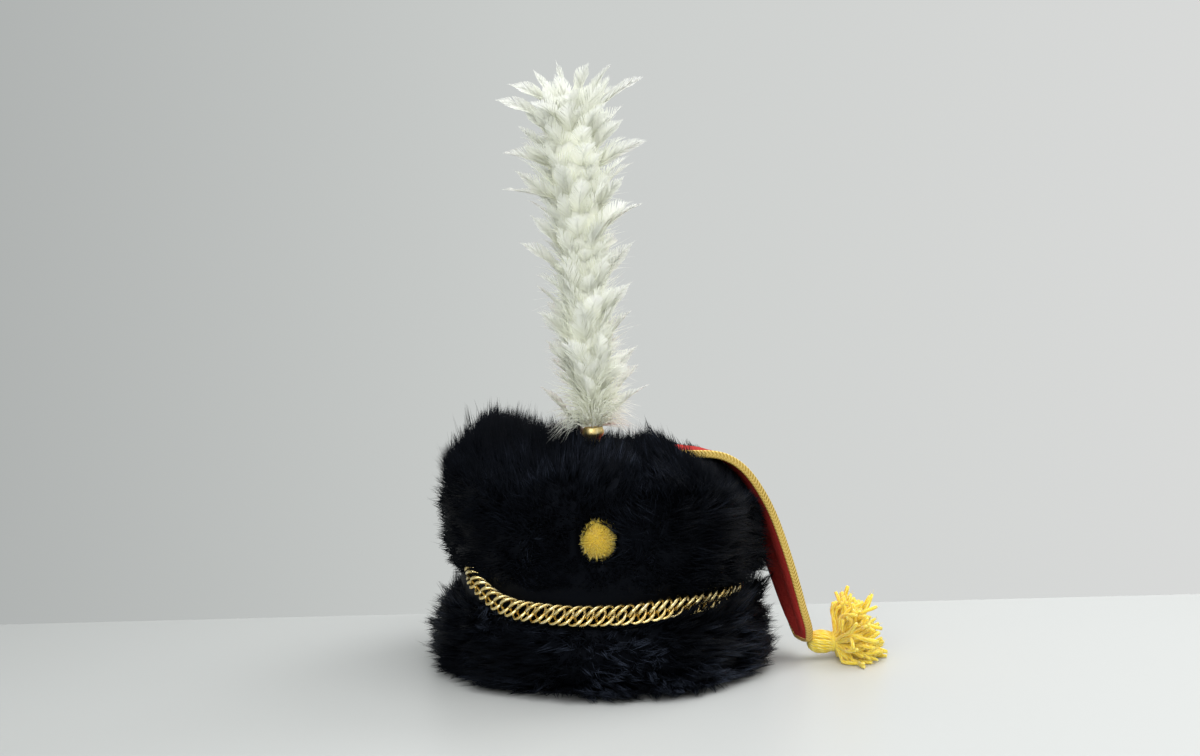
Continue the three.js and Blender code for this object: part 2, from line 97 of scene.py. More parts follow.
# How much lower the fur's upper edge lies at degrees round the cap from the bag's side: least on the left,
# lower before the plume at 270 degrees, and lowest under the bag and behind it.
FUR_EDGE = columns(
    "angle drop",
    (0, 27), (35, 32), (60, 33), (90, 28), (120, 16), (150, 5), (180, 0), (205, 0), (235, 4), (255, 6),
    (270, 8), (283, 3), (297, 3), (310, 11), (322, 22), (335, 27), (360, 27),
)
EDGE_HEIGHTS = (120 * MM, 170 * MM)  # where the lower edge begins to tell, and where it tells wholly
EDGE_DEPTH = 12 * MM  # how far below the edge roots and skin already follow it
CLIMB = (-5 * MM, 1 * MM)  # distances inside the felt's wall over which the fur climbs to the crown's top
# The hairs: how thick and how light each is painted, at its root, bend and tip, how long, how far the
# hairs of a clump lie apart, and how far they stray, sweep, sway, lift and swell. Their tone is painted
# darker at the roots as painted shade and lighter to the tips as painted sheen.
HAIR = {
    "radius": 0.32 * MM, "thick": (0.75, 1.2), "taper": np.array([1.0, 0.85, 0.0]),
    "tint": (0.25, 1.0), "shade": (0.4, 1.0), "tone": np.array([0.1, 0.75, 1.0]),
    "per_clump": 15, "reach": (0.7, 1.03), "clump_reach": (0.84, 1.08),
    "clump": 3.6 * MM, "clump_out": 20 * MM, "clump_share": 0.03,
    "stray": 2.6 * MM, "bend_stray": 0.5 * MM, "tip_stray": 0.45 * MM,
    "sweep": 0.07, "sway": 0.1, "lift": 5 * MM, "swell": 2.0 * MM,
    "least_rise": 7 * MM, "rising_rows": (0.7, 0.75),
}
FLYAWAY = {"radius": 0.2 * MM, "per_clump": 2, "reach": (0.95, 1.12)}
BEND = {"sway": 0.3, "out": 0.68, "rise": 0.36, "drawn": 0.4}  # a hair's bend, as shares of what its tip has
DRAWN = {UPPER: (0.3, 0.85), LOWER: (0.6, 1.0)}  # how far the tips of a clump are drawn together
# Painted sheen: how much lighter the hairs are painted, most on the lower coat.
PAINTED_SHEEN = {UPPER: 0.95, LOWER: 1.5}  # how light the hairs are
# Where a side of the cap begins and where it counts wholly, as cosines of the angle from its middle.
SIDES = {"right": (0, 0.8), "left": (0.6, 0.9), "front": (0.55, 0.95)}
# The first rows of a coat droop over the hidden chain and stand out there, by millimetres and what the right
# and left add to them. The lower coat swells on the left and along its front's foot, and follows the chain.
DROOP = {"rows": (0.06, 0.3), "down": 5, "down_right": 8, "down_left": 2, "out": 8, "out_right": 7,
         "out_left": -8, "calm_left": 0.6}
LOWER_SWELL = {"left": 3, "front": 4.5, "front_rows": (0.6, 0.85), "follow": 0.4}
FUR_FRONT = -148.5 * MM  # no hair reaches further forward
FUR_FOOT = 0.5 * MM  # or lower
# The bag presses the fur from this share of its length on. The room is kept under its inner face, and the
# push fades between two distances beyond its front and back edges.
PRESS = {"from": 0.34, "room": 3.4 * MM, "front": (3 * MM, 14 * MM), "back": (2 * MM, 7 * MM),
         "free": 2.5 * MM, "over_felt": 1 * MM}
ROOM_BESIDE = {"hair": -1.0 * MM, "skin": 2.2 * MM}  # the room kept beside the bag's back edge

# The chin chain: rings in pairs round the waist, sagging at the front and rising out of the waist on the -X
# side. Its reach is its half width as a share of the felt's, and it dives into the fur over a range of
# cosines of the angle from the hat's two sides.
CHAIN = {"out": 18 * MM, "half_height": 7.4 * MM, "wire": 1.3 * MM, "mean_height": 60 * MM, "reach": 1.2,
         "dive": 9 * MM, "dives": (0.83, 0.95)}
CHAIN_LINE = columns(
    "x z",
    (-112, 78), (-94, 74), (-84, 66.5), (-73, 60), (-58, 56.8), (-20, 56), (20, 57.5), (50, 60.5), (112, 63),
)
# The angles between which the chain shows, how far inside the first and beyond the last one hair gives way
# to it, and how much of it shows at the back.
CHAIN_SHOWS = {"from": 3.66, "to": 4.94, "opens": {UPPER: 0.38, LOWER: 0.38 / 3}, "closes": 0.38,
               "back": 0.45, "back_from": (0.2, 0.7)}
# Hair further off the felt than a distance keeps a gap to the chain, and moves no more than a limit for it.
CHAIN_CLEAR = {"out": 12 * MM, "gap": 0.6 * MM, "limit": 12 * MM}
# A ring of the chain: its half size, how it slants, twists and tilts, and how much closer the pairs stand.
LINK = {"half_length": 6.0 * MM, "half_height": 6.5 * MM, "slant": 0.36, "twist": 0.8, "count": 102,
        "pairing": 0.12, "tilt": -0.24}

# The boss, a wool pompom.
BOSS = {
    "x": -3 * MM, "z": 108 * MM, "out": 18 * MM, "core": 0.82, "fibres": 2800, "fibre": 0.42 * MM,
    "along": np.array([0.62, 0.84, 1.0]), "reach": (0.94, 1.04), "lean": 0.09,
    "thick": (0.8, 1.2), "taper": np.array([1.0, 0.9, 0.0]),
    # The fibres' tone paints them darker at the root, deep in the pompom: painted shade.
    "shade": (0.5, 1.0), "tone": np.array([0.2, 0.7, 1.0]),
    "notch": 0.14, "notch_half": 0.22, "notch_below": (0.6, 0.95),
}
BOSS_HALF = np.array([11.6, 9.0, 14.2]) * MM
# The fur parts round the boss, in shares of its oval: no hair has its root or its middle inside the first
# two, and bends and tips move out to the others.
PARTING = {"root": 0.7, "middle": 0.75, "bend": 0.9, "tip": 0.97}

# The plume and its socket, along a stem that leans a little to -X.
PLUME_FOOT = np.array([-5, -78, 150.8]) * MM
PLUME_LEAN = math.radians(3.8)
STEM = 2.2 * MM  # the radius that quills leave from
SOCKET_OUTSIDE = columns(
    "radius along",
    (2.9, 0.3), (6.5, 0), (6.5, 3), (5.2, 4.2), (4.2, 6), (4.2, 20), (5.4, 22.5), (7.3, 25), (7.6, 26.5),
    (7.3, 28), (6.3, 30), (3.2, 29.4),
)
SOCKET_ROOM = 4.8 * MM  # the radius round the socket that stays free of hair
# The fur before the socket's collar is cut to a height, deeper in a notch, and less and less to the sides.
COLLAR = {"x": -6.7 * MM, "z": 174.5 * MM, "cut": np.array([0.985, 0.995, 1.0]), "notch": 5 * MM,
          "notch_half": 7 * MM, "sides": (6 * MM, 11 * MM), "veil_every": 3, "veil": 0.45}
# A feather's vane: where its barbs stand along the quill, how it is rolled, cupped and waved, where it
# widens and narrows, by how many millimetres its barbs are loose at the root, how far that closes, and how
# far they stray.
VANE = {
    "along": (0.03, 0.97), "uneven": 0.01, "step": 0.02, "root_roll": 0.4, "cup": (0.1, 0.5),
    "waves": (5, 13), "wave": 0.2, "root_width": 0.2, "widens": (0.0, 0.42), "narrows": 0.45, "fall": 2.2,
    "loose": 5.0, "closed": 4.8, "closes": (0.05, 0.4), "stray": 0.2 * MM,
}
BARB = {"half_width": 1.25 * MM, "thickness": 0.12 * MM, "narrow": 0.4, "slant": 1.2, "advance": 2.4 * MM}
SHAFT = {"along": np.array([0.0, 0.35, 0.7, 0.98]), "radius": np.array([0.6, 0.5, 0.35, 0.0]) * MM}
# The layers of feathers, in millimetres and radians: how many, from and to which height on the stem, the
# angle off it, their lengths, widths and curl, and a seed.
PLUME_LAYERS = [
    (110, 31, 224, (0.14, 0.34), (40, 54), (13, 19), (0.0, 0.14), 42),
    (70, 34, 140, (0.24, 0.5), (36, 50), (11, 16), (0.02, 0.2), 43),
    (56, 142, 222, (0.34, 0.66), (40, 54), (11, 17), (0.02, 0.22), 44),
    (44, 214, 236, (0.1, 0.7), (32, 46), (11, 17), (0.0, 0.22), 45),
]
# What the layers share: barbs, how pointed the vanes are, and how unevenly they stand, roll and sway. Those
# in front and behind stand fuller.
LAYER = {"barbs": 44, "points": (1.3, 2.2), "uneven": 0.3, "fuller": 0.3, "roll": 0.5, "sway": 4 * MM}
# The tips that make the plume's outline: off the stem to the right, and up along it.
PLUME_OUTLINE = columns(
    "off up",
    (40, 57), (-34, 60), (36, 70), (34, 84), (-28, 92), (-33, 112), (32, 108), (33, 128), (-33, 130),
    (38, 156), (-42, 160), (44, 181), (-34, 178), (-53, 197), (34, 200), (-42, 210), (-48, 222), (49, 224),
    (36, 238), (-38, 240), (-51, 258), (-42, 268), (50, 266), (28, 276), (14, 279), (-6, 281), (-24, 276),
    (-24, 232), (-31, 248),
)
# The feathers that end there, with lengths and widths in millimetres.
OUTLINE = {"barbs": 80, "points": (1.5, 2.4), "length": (46, 58), "width": (10, 15), "bend": (0.05, 0.16),
           "roll": (0.3, 1.3), "uneven": 0.25, "sway": 3 * MM, "seed": 46}
DROP = 0.8  # how far a feather's curl brings its tip down, as a share of how far it brings it out
PLUME_CORE = np.array([0.2, 6.5, 11.5, 13, 13, 13.5, 15, 16.5, 14, 0.2]) * MM  # radii at even steps
CORE_ALONG = {"from": 29 * MM, "length": 232 * MM}
# The down: its spread up the stem and its lengths, in millimetres, its angle off the stem, and its sizes.
DOWN = {
    "count": 2900, "from": 31, "length": 203, "spread": (0.6, 1.1), "reach": (14, 30), "lift": (0.6, 1.5),
    "foot": (-60 * MM, -30 * MM), "root": 6 * MM, "stray": 3.0 * MM,
    "radius": np.array([0.26, 0.2, 0.0]) * MM, "tone": np.array([0.3, 0.6, 0.9]),
}

# The bag's middle line in the plane y = 0, and half its width, from its head on the crown to its tip.
BAG_LINE = columns(
    "x z half",
    (-76, 152, 14), (-66, 152, 37), (-47, 152, 56), (-20, 152, 67), (8, 152.2, 68), (36, 152.6, 60),
    (60, 152.3, 51), (80, 151, 46), (95, 142.5, 43), (106.5, 127, 40), (118, 102, 36), (129.5, 72, 31),
    (139.5, 42, 25.5), (145, 26.5, 19.5), (147.6, 16.5, 12.5),
)
# How the bag turns, leans, hangs in folds, lies and crests, over shares of its length.
BAG = {
    "thickness": 2.2 * MM, "over_felt": 0.6 * MM, "twist": -0.19, "twists": (0.46, 0.72),
    "tip_turn": 0.3, "tip_turns": (0.85, 1.0), "lean": 0.1, "leans": (0.3, 0.42), "rights": (0.5, 0.66),
    "fold": 1.6 * MM, "curl": 1.0 * MM, "hangs": (0.5, 0.8), "gathers": (0.9, 1.0),
    "wave": 0.5 * MM, "lies": (0.35, 0.6), "crest": 5 * MM, "crest_at": 0.42, "crest_spread": 0.06,
}
# The braid's section, its way along the bag's edges and its place beside them, and the relief of its plait.
BRAID = {
    "width": 5.5 * MM, "depth": 1.8 * MM, "square": 0.75, "from": 0.4, "back_rows": 54, "gap": 0.4 * MM,
    "outward": 1.5 * MM, "tip_bulge": 1.2 * MM, "plait": 2.6 * MM, "slant": 0.9, "relief": 0.4 * MM,
    "groove": 0.6, "groove_half": 0.12,
}

# The tassel lies on its side with its head at the bag's tip.
TASSEL_TOP = np.array([152.7, -2, 13]) * MM
TASSEL_HEAD = columns(
    "radius along",
    (0.6, 0.2), (3.8, 1.2), (6.3, 4), (7.4, 8), (7.4, 12), (6.4, 16), (5.1, 19), (5.4, 21.5), (5, 24),
)
HEAD_YARN = {"count": 21, "radius": 1.3 * MM, "twist": 5.0, "slant": 0.25, "stray": 0.03}
HEAD_CORE = {"share": 0.95, "end": 0.2 * MM}
TIE = {"along": (18.4 * MM, 20.6 * MM), "radius": 6.4 * MM, "yarn": 1.25 * MM}
# The skirt's yarns: their lengths and radii, how far they lean off the tassel's line, and how they bend.
SKIRT = {
    "count": 168, "length": (25 * MM, 37 * MM), "shorter_above": 0.22, "radius": (1.25 * MM, 1.62 * MM),
    "from": 20 * MM, "root": 4.6 * MM, "belly": 5.5 * MM, "ahead": 0.4, "widest": 1.45, "flat": 0.5,
    "bow": 4.5 * MM, "sway": 2.6 * MM, "sways": 1.2, "kink": 3.2 * MM, "lift": 4 * MM, "rest": 1.15,
    "stations": 13, "twist": 9.0,
}
FUZZ = {"per_yarn": 11, "from": 5, "lean": 0.8, "length": (2.2 * MM, 4 * MM), "stray": 0.3 * MM,
        "along": np.array([0.2, 0.7, 1.0]), "radius": np.array([0.16, 0.12, 0]) * MM, "foot": 0.4 * MM}
LOBE = 0.13  # how far the plies of a yarn stand out, as a share of its radius
YARN_END = {"along": 0.05, "narrow": 0.2}


# Array tools.


def unit(vectors):
    """Vectors divided by their own length."""
    return vectors / np.maximum(np.linalg.norm(vectors, axis=-1, keepdims=True), 1e-12)


def ramp(value, low, high):
    """A soft step from 0 at low to 1 at high: three squares less two cubes of the share between them."""
    share = np.clip((value - low) / (high - low), 0, 1)
    return share * share * (3 - 2 * share)


def smooth(values, share):
    """A curve through evenly spaced values: a Catmull-Rom cubic between each pair, with the ends carried
    straight on."""
    place = np.clip(share, 0, 1) * (len(values) - 1)
    row = np.minimum(place.astype(int), len(values) - 2)
    t = place - row
    padded = np.concatenate([[2 * values[0] - values[1]], values, [2 * values[-1] - values[-2]]])
    a, b, c, d = (padded[row + k] for k in range(4))
    return b + 0.5 * t * (c - a + t * (2 * a - 5 * b + 4 * c - d + t * (3 * (b - c) + d - a)))


def read(table, share):
    """Every column of a table, at a share of its rows, in metres."""
    return {name: smooth(values * MM, share) for name, values in table.items()}


def ripple(angle, height, seed, turns=9):
    """An uneven field round the cap, about -1 to 1: sine waves with whole numbers of turns, added up."""
    waves, rise = 9, 90.0
    rng = np.random.default_rng(seed)
    rounds = rng.integers(1, turns + 1, waves)
    rises = rng.uniform(-rise, rise, waves)
    starts = rng.uniform(0, TURN, waves)
    field = sum(np.sin(n * angle + m * height + s) for n, m, s in zip(rounds, rises, starts))
    return field / math.sqrt(waves)


def around(angle, out, height):
    """Points round the cap: the felt's oval, grown by a distance off it, at a height."""
    across = (CAP_HALF_WIDTH + out) * np.cos(angle)
    along = (CAP_HALF_LENGTH + out) * np.sin(angle)
    return np.stack(np.broadcast_arrays(across, along, height), -1)


def off_felt(points):
    """About how far points lie off the felt's wall: their share of its oval, less one, times its mean
    radius."""
    share = np.hypot(points[..., 0] / CAP_HALF_WIDTH, points[..., 1] / CAP_HALF_LENGTH)
    return (share - 1) * CAP_MEAN_RADIUS


def run_along(points):
    """The length run from the first point of a line to each of its points."""
    return np.concatenate([[0], np.cumsum(np.linalg.norm(np.diff(points, axis=0), axis=1))])


def circle(steps):
    """Angles evenly round a circle."""
    return TURN * np.arange(steps) / steps


def flat_way(angle):
    """Level directions at angles round an upright axis."""
    return np.stack([np.cos(angle), np.sin(angle), 0 * angle], -1)


def skin(rings, tips=None):
    """Closes rows of rings into solids. Each pair of rings is joined by triangles, a fan closes the first
    ring, and the last one runs to its tip or gets a fan too. Rings turn anticlockwise as seen from the
    tips."""
    rows, stations, sides = rings.shape[:3]
    here = np.arange(sides)
    after = (here + 1) % sides
    low = (np.arange(stations - 1) * sides)[:, None]
    a, b = low + here, low + after
    walls = np.stack([a, b, b + sides, a, b + sides, a + sides], -1).reshape(-1, 3)
    fan = np.stack([np.zeros(sides - 2, int), here[2:], here[1:-1]], -1)
    top = (stations - 1) * sides
    points = rings.reshape(rows, -1, 3)
    if tips is None:
        end = top + fan[:, ::-1]
    else:
        end = np.stack([top + here, top + after, np.full(sides, top + sides)], -1)
        points = np.concatenate([points, tips[:, None]], 1)
    faces = np.concatenate([walls, fan, end]) + (np.arange(rows) * points.shape[1])[:, None, None]
    return points.reshape(-1, 3), faces.reshape(-1, 3)


def tone_of(values, pointed=True):
    """One value for each point of three-sided strands, from one for each station of each row."""
    if not pointed:
        return np.repeat(values, STRAND_SIDES, axis=1).ravel()
    return np.concatenate([np.repeat(values[:, :-1], STRAND_SIDES, axis=1), values[:, -1:]], 1).ravel()


def square_to(centres):
    """Two directions square to the line at each centre of each row, with no twist along a row."""
    along = unit(np.gradient(centres, axis=1))
    whole = unit(centres[:, -1] - centres[:, 0])
    helper = np.where(np.abs(whole[:, 2:]) > 0.8, [1.0, 0.0, 0.0], UP)[:, None]
    across = unit(np.cross(along, helper))
    return across, np.cross(along, across)


def ring_round(across, other, sides):
    """Directions evenly round each centre of each row, in the plane of the two directions there."""
    turn = circle(sides)
    return np.cos(turn)[:, None] * across[:, :, None] + np.sin(turn)[:, None] * other[:, :, None]


def strands(centres, radii):
    """Pointed strands: a ring of a radius round each centre, square to the line, with the last centre as the
    tip."""
    rings = centres[:, :, None] + radii[..., None, None] * ring_round(*square_to(centres), STRAND_SIDES)
    return skin(rings[:, :-1], centres[:, -1])


def tube_loops(centres, facing, radius, sides):
    """Closed loops of round wire: a ring round each centre, set by the loop's line and a facing
    direction."""
    rows, stations = centres.shape[:2]
    along = unit(np.roll(centres, -1, 1) - np.roll(centres, 1, 1))
    across = unit(np.cross(along, np.broadcast_to(facing, centres.shape)))
    points = centres[:, :, None] + radius * ring_round(across, np.cross(along, across), sides)
    faces = grid_faces(stations, sides) + (np.arange(rows) * stations * sides)[:, None, None]
    return points.reshape(-1, 3), faces.reshape(-1, 3)


def grid_faces(rows, sides):
    """Triangles over a grid of points that closes on itself both ways, row by row. They face the side where
    the ways along and across the rows, crossed, point to."""
    row = np.arange(rows)[:, None]
    here = np.arange(sides)
    up, after = (row + 1) % rows, (here + 1) % sides
    a, b = row * sides + here, row * sides + after
    c, d = up * sides + after, up * sides + here
    return np.stack([a, b, c, a, c, d], -1).reshape(-1, 3)


def turned(radius, height, steps):
    """A form turned about Z from a profile: each profile point carried round a circle. The profile closes on
    itself, and runs anticlockwise in the plane of radius and height."""
    angle = circle(steps)
    x, y = radius[:, None] * np.cos(angle), radius[:, None] * np.sin(angle)
    points = np.stack(np.broadcast_arrays(x, y, height[:, None]), -1)
    return points.reshape(-1, 3), grid_faces(len(radius), steps)


def join(*shapes):
    """Several shapes as one: points one after the other, with the faces' numbers moved on."""
    starts = np.cumsum([0] + [len(points) for points, _ in shapes])
    faces = [faces + start for (_, faces), start in zip(shapes, starts)]
    return np.concatenate([points for points, _ in shapes]), np.concatenate(faces)


def piece(name, shape, material, node, uv=None, tone=None, smooth_faces=True):
    """Puts a shape into a mesh at the origin that rides on the hat and stands for a node."""
    points, faces = shape
    mesh = bpy.data.meshes.new(name)
    mesh.vertices.add(len(points))
    mesh.vertices.foreach_set("co", np.ascontiguousarray(points, np.float32).ravel())
    mesh.loops.add(faces.size)
    mesh.loops.foreach_set("vertex_index", np.ascontiguousarray(faces, np.int32).ravel())
    mesh.polygons.add(len(faces))
    mesh.polygons.foreach_set("loop_start", np.arange(0, faces.size, 3, dtype=np.int32))
    mesh.update(calc_edges=True)
    mesh.polygons.foreach_set("use_smooth", np.full(len(faces), smooth_faces))
    if tone is not None:
        attribute = mesh.attributes.new("tone", "FLOAT", "POINT")
        attribute.data.foreach_set("value", np.ascontiguousarray(tone, np.float32).ravel())
    if uv is not None:
        layer = mesh.uv_layers.new(name="UVMap")
        layer.data.foreach_set("uv", np.ascontiguousarray(uv[faces.ravel()], np.float32).ravel())
    mesh.materials.append(material)
    made = bpy.data.objects.new(name, mesh)
    bpy.context.scene.collection.objects.link(made)
    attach(made, "root")
    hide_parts(node)
    return made


# Finishes.


def linear(code):
    """An sRGB hex colour as linear red, green and blue, with a full alpha."""
    share = np.array([int(code[i:i + 2], 16) for i in (1, 3, 5)]) / 255
    light = np.where(share <= 0.04045, share / 12.92, ((share + 0.055) / 1.055) ** 2.4)
    return (*light.tolist(), 1.0)


def fill(tree, node, inputs):
    """Fills a node's inputs. One that is another node's socket is linked, and any other is set."""
    for name, value in inputs.items():
        if isinstance(value, bpy.types.NodeSocket):
            tree.links.new(value, node.inputs[name])
        else:
            node.inputs[name].default_value = value


def put(tree, kind, inputs=None, out=0, stops=(), **settings):
    """Adds a node with its settings, its inputs and a ramp's stops, which are places and colours. Gives the
    output that is asked for."""
    node = tree.nodes.new("ShaderNode" + kind)
    for name, value in settings.items():
        setattr(node, name, value)
    fill(tree, node, inputs or {})
    for i, (place, colour) in enumerate(stops):
        elements = node.color_ramp.elements
        element = elements[i] if i < len(elements) else elements.new(place)
        element.position = place
        element.color = linear(colour)
    return node.outputs[out]


def new_material(name):
    """An empty node material, its tree and the object's own coordinates."""
    material = bpy.data.materials.new(name)
    material.use_nodes = True
    return material, material.node_tree, put(material.node_tree, "TexCoord", out="Object")


def finished(material, **inputs):
    """The material with its shader's inputs filled. Underscores in a name stand for spaces."""
    tree = material.node_tree
    named = {name.replace("_", " "): value for name, value in inputs.items()}
    fill(tree, tree.nodes["Principled BSDF"], named)
    return material


def per_mm(size):
    """The scale of a pattern that repeats every so many millimetres. Fibres, threads and barbs are too fine
    to show, so theirs are drawn coarser than real ones."""
    return 1 / (size * MM)


def fur_material():
    """Dyed rabbit fur: fine, dense and black, with a cold bluish sheen from its specular. The colour is also
    painted lighter and bluish on some hairs and in patches, a painted sheen, and darkest at the roots, a
    painted shade.
    """
    material, tree, place = new_material("dyed_rabbit_fur")
    tone = put(tree, "Attribute", out="Fac", attribute_name="tone")
    # Patches where the hairs are painted lighter: painted sheen.
    patches = put(tree, "TexNoise", {"Vector": place, "Scale": per_mm(40), "Detail": 2.0}, "Fac")
    painted_sheen_patches = put(tree, "MapRange", {"Value": patches, "From Min": 0.38, "From Max": 0.66, "To Min": 0.3,
                                 "To Max": 1.05})
    mixed = put(tree, "Math", {0: tone, 1: painted_sheen_patches}, operation="MULTIPLY")
    # The light bluish stops are the painted sheen, and the darkest ones painted shade at the roots.
    colour = put(tree, "ValToRGB", {"Fac": mixed},
                 stops=[(0.0, "#040508"), (0.25, "#07090d"), (0.5, "#11141b"), (0.8, "#363c49")])
    return finished(material, Base_Color=colour, Roughness=0.5, Specular_IOR_Level=0.1,
                    Specular_Tint=linear("#b4c0da"))


def felt_material():
    """Black wool felt: pressed fibres, dull and slightly lighter where they lie open."""
    material, tree, place = new_material("black_wool_felt")
    fibres = put(tree, "TexNoise",
                 {"Vector": place, "Scale": per_mm(1.6), "Detail": 5.0, "Roughness": 0.7}, "Fac")
    colour = put(tree, "ValToRGB", {"Fac": fibres}, stops=[(0.3, "#0e0d10"), (0.7, "#201e23")])
    bump = put(tree, "Bump", {"Height": fibres, "Strength": 0.5, "Distance": 0.4 * MM})
    return finished(material, Base_Color=colour, Normal=bump, Roughness=0.95, Specular_IOR_Level=0.2,
                    Sheen_Weight=0.15)


def gilt_material(name, brightest, dullest):
    """Gilt brass: stamped and plated, with a slightly uneven polish between two roughnesses."""
    material, tree, place = new_material(name)
    wear = put(tree, "TexNoise", {"Vector": place, "Scale": per_mm(5), "Detail": 4.0}, "Fac")
    colour = put(tree, "ValToRGB", {"Fac": wear},
                 stops=[(0.3, "#e0c078"), (0.55, "#f3de9e"), (0.75, "#fff4d2")])
    polish = put(tree, "MapRange", {"Value": wear, "To Min": brightest, "To Max": dullest})
    return finished(material, Base_Color=colour, Roughness=polish, Metallic=1.0)


def wool_material(name, dark, middle, light, fibre):
    """Dyed wool yarn: soft and dull, with a fine fibrous surface. It is painted deeper in colour between the
    strands, in the grooves between plies and at fibre roots, as painted shade.
    """
    material, tree, place = new_material(name)
    tone = put(tree, "Attribute", out="Fac", attribute_name="tone")
    fibres = put(tree, "TexNoise", {"Vector": place, "Scale": per_mm(fibre), "Detail": 4.0}, "Fac")
    mixed = put(tree, "Math", {0: tone, 1: fibres}, operation="ADD")
    halved = put(tree, "Math", {0: mixed, 1: 0.5}, operation="MULTIPLY")
    colour = put(tree, "ValToRGB", {"Fac": halved}, stops=[(0.22, dark), (0.5, middle), (0.78, light)])
    bump = put(tree, "Bump", {"Height": fibres, "Strength": 0.4, "Distance": 0.3 * MM})
    return finished(material, Base_Color=colour, Normal=bump, Roughness=0.9, Specular_IOR_Level=0.2,
                    Sheen_Weight=0.3, Sheen_Roughness=0.5, Subsurface_Weight=0.3,
                    Subsurface_Radius=(1.0, 0.8, 0.3), Subsurface_Scale=2 * MM)


def feather_material():
    """Bleached goose feather: ivory and silky, with fine barb lines. It is painted darker and creamier
    towards the quill, as painted shade between the feathers, and whitest at the tips and barb ends, as
    painted highlight.
    """
    material, tree, place = new_material("bleached_goose_feather")
    tone = put(tree, "Attribute", out="Fac", attribute_name="tone")
    colour = put(tree, "ValToRGB", {"Fac": tone},
                 stops=[(0.0, "#e6e6c6"), (0.4, "#f2f4e0"), (0.9, "#fafcf3")])
    barbs = put(tree, "TexNoise", {"Vector": place, "Scale": per_mm(1.2), "Detail": 3.0}, "Fac")
    bump = put(tree, "Bump", {"Height": barbs, "Strength": 0.3, "Distance": 0.3 * MM})
    return finished(material, Base_Color=colour, Normal=bump, Roughness=0.6, Specular_IOR_Level=0.3,
                    Sheen_Weight=0.15, Subsurface_Weight=0.55, Subsurface_Radius=(1.0, 1.0, 0.9),
                    Subsurface_Scale=6 * MM)


def cloth_material():
    """Red wool broadcloth: a close weave under a short nap, deep red with a soft bloom on its folds."""
    material, tree, place = new_material("red_broadcloth")
    uv = put(tree, "UVMap", uv_map="UVMap")
    nap = put(tree, "TexNoise",
              {"Vector": place, "Scale": per_mm(2.2), "Detail": 5.0, "Roughness": 0.65}, "Fac")
    threads = {"Vector": uv, "Scale": per_mm(0.9) / TURN, "Distortion": 0.6}
    warp, weft = (put(tree, "TexWave", threads, "Fac", bands_direction=way) for way in "XY")
    weave = put(tree, "Math", {0: warp, 1: weft}, operation="MULTIPLY")
    height = put(tree, "Math", {0: weave, 1: nap}, operation="ADD")
    colour = put(tree, "ValToRGB", {"Fac": nap},
                 stops=[(0.25, "#aa2f2b"), (0.5, "#b93a35"), (0.75, "#c6463f")])
    bump = put(tree, "Bump", {"Height": height, "Strength": 0.35, "Distance": 0.3 * MM})
    return finished(material, Base_Color=colour, Normal=bump, Roughness=0.85, Specular_IOR_Level=0.06,
                    Specular_Tint=linear("#c0504a"), Sheen_Weight=0.06, Sheen_Roughness=0.4,
                    Sheen_Tint=linear("#c6463f"))


def lace_material():
    """Gold lace: metal thread plaited flat, painted light on its ridges as painted highlight and dark in the
    grooves between the threads as painted shade.
    """
    material, tree, place = new_material("gold_lace")
    tone = put(tree, "Attribute", out="Fac", attribute_name="tone")
    colour = put(tree, "ValToRGB", {"Fac": tone},
                 stops=[(0.0, "#6f5018"), (0.5, "#cda743"), (1.0, "#f2da88")])
    thread = put(tree, "TexNoise", {"Vector": place, "Scale": per_mm(0.7), "Detail": 3.0}, "Fac")
    bump = put(tree, "Bump", {"Height": thread, "Strength": 0.35, "Distance": 0.2 * MM})
    return finished(material, Base_Color=colour, Normal=bump, Metallic=0.55, Roughness=0.42)


# The felt cap.


def cap_shell():
    """The felt wall: a profile up the outside, over the rounded crown and back down the inside, turned round
    and stretched to the head's oval."""
    steps = 12
    corner = np.linspace(0, math.pi / 2, 7)
    centre_r, centre_z = CAP_HALF_WIDTH - CROWN_ROUND, CROWN_HEIGHT - CROWN_ROUND
    inner = CROWN_ROUND - FELT
    rise = np.linspace(0, centre_z, steps)
    flat = np.linspace(centre_r, 0.4 * MM, steps)
    radius = np.concatenate([
        np.full(steps, CAP_HALF_WIDTH), centre_r + CROWN_ROUND * np.cos(corner[1:]), flat[1:],
        flat[::-1], centre_r + inner * np.cos(corner[::-1][1:]), np.full(steps - 1, CAP_HALF_WIDTH - FELT),
    ])
    height = np.concatenate([
        rise, centre_z + CROWN_ROUND * np.sin(corner[1:]), np.full(steps - 1, CROWN_HEIGHT),
        np.full(steps, CROWN_HEIGHT - FELT), centre_z + inner * np.sin(corner[::-1][1:]), rise[::-1][1:],
    ])
    points, faces = turned(radius, height, steps=96)
    points[:, 1] *= CAP_HALF_LENGTH / CAP_HALF_WIDTH
    return points, faces


def crown_top(out):
    """The height of the felt's crown at distances off its wall: flat inside, and a quarter round at its
    edge."""
    inward = np.clip(out + CROWN_ROUND, 0, CROWN_ROUND)
    return CROWN_HEIGHT - CROWN_ROUND + np.sqrt(CROWN_ROUND ** 2 - inward ** 2)


# The lines of the bag and the chain, which the fur follows too.


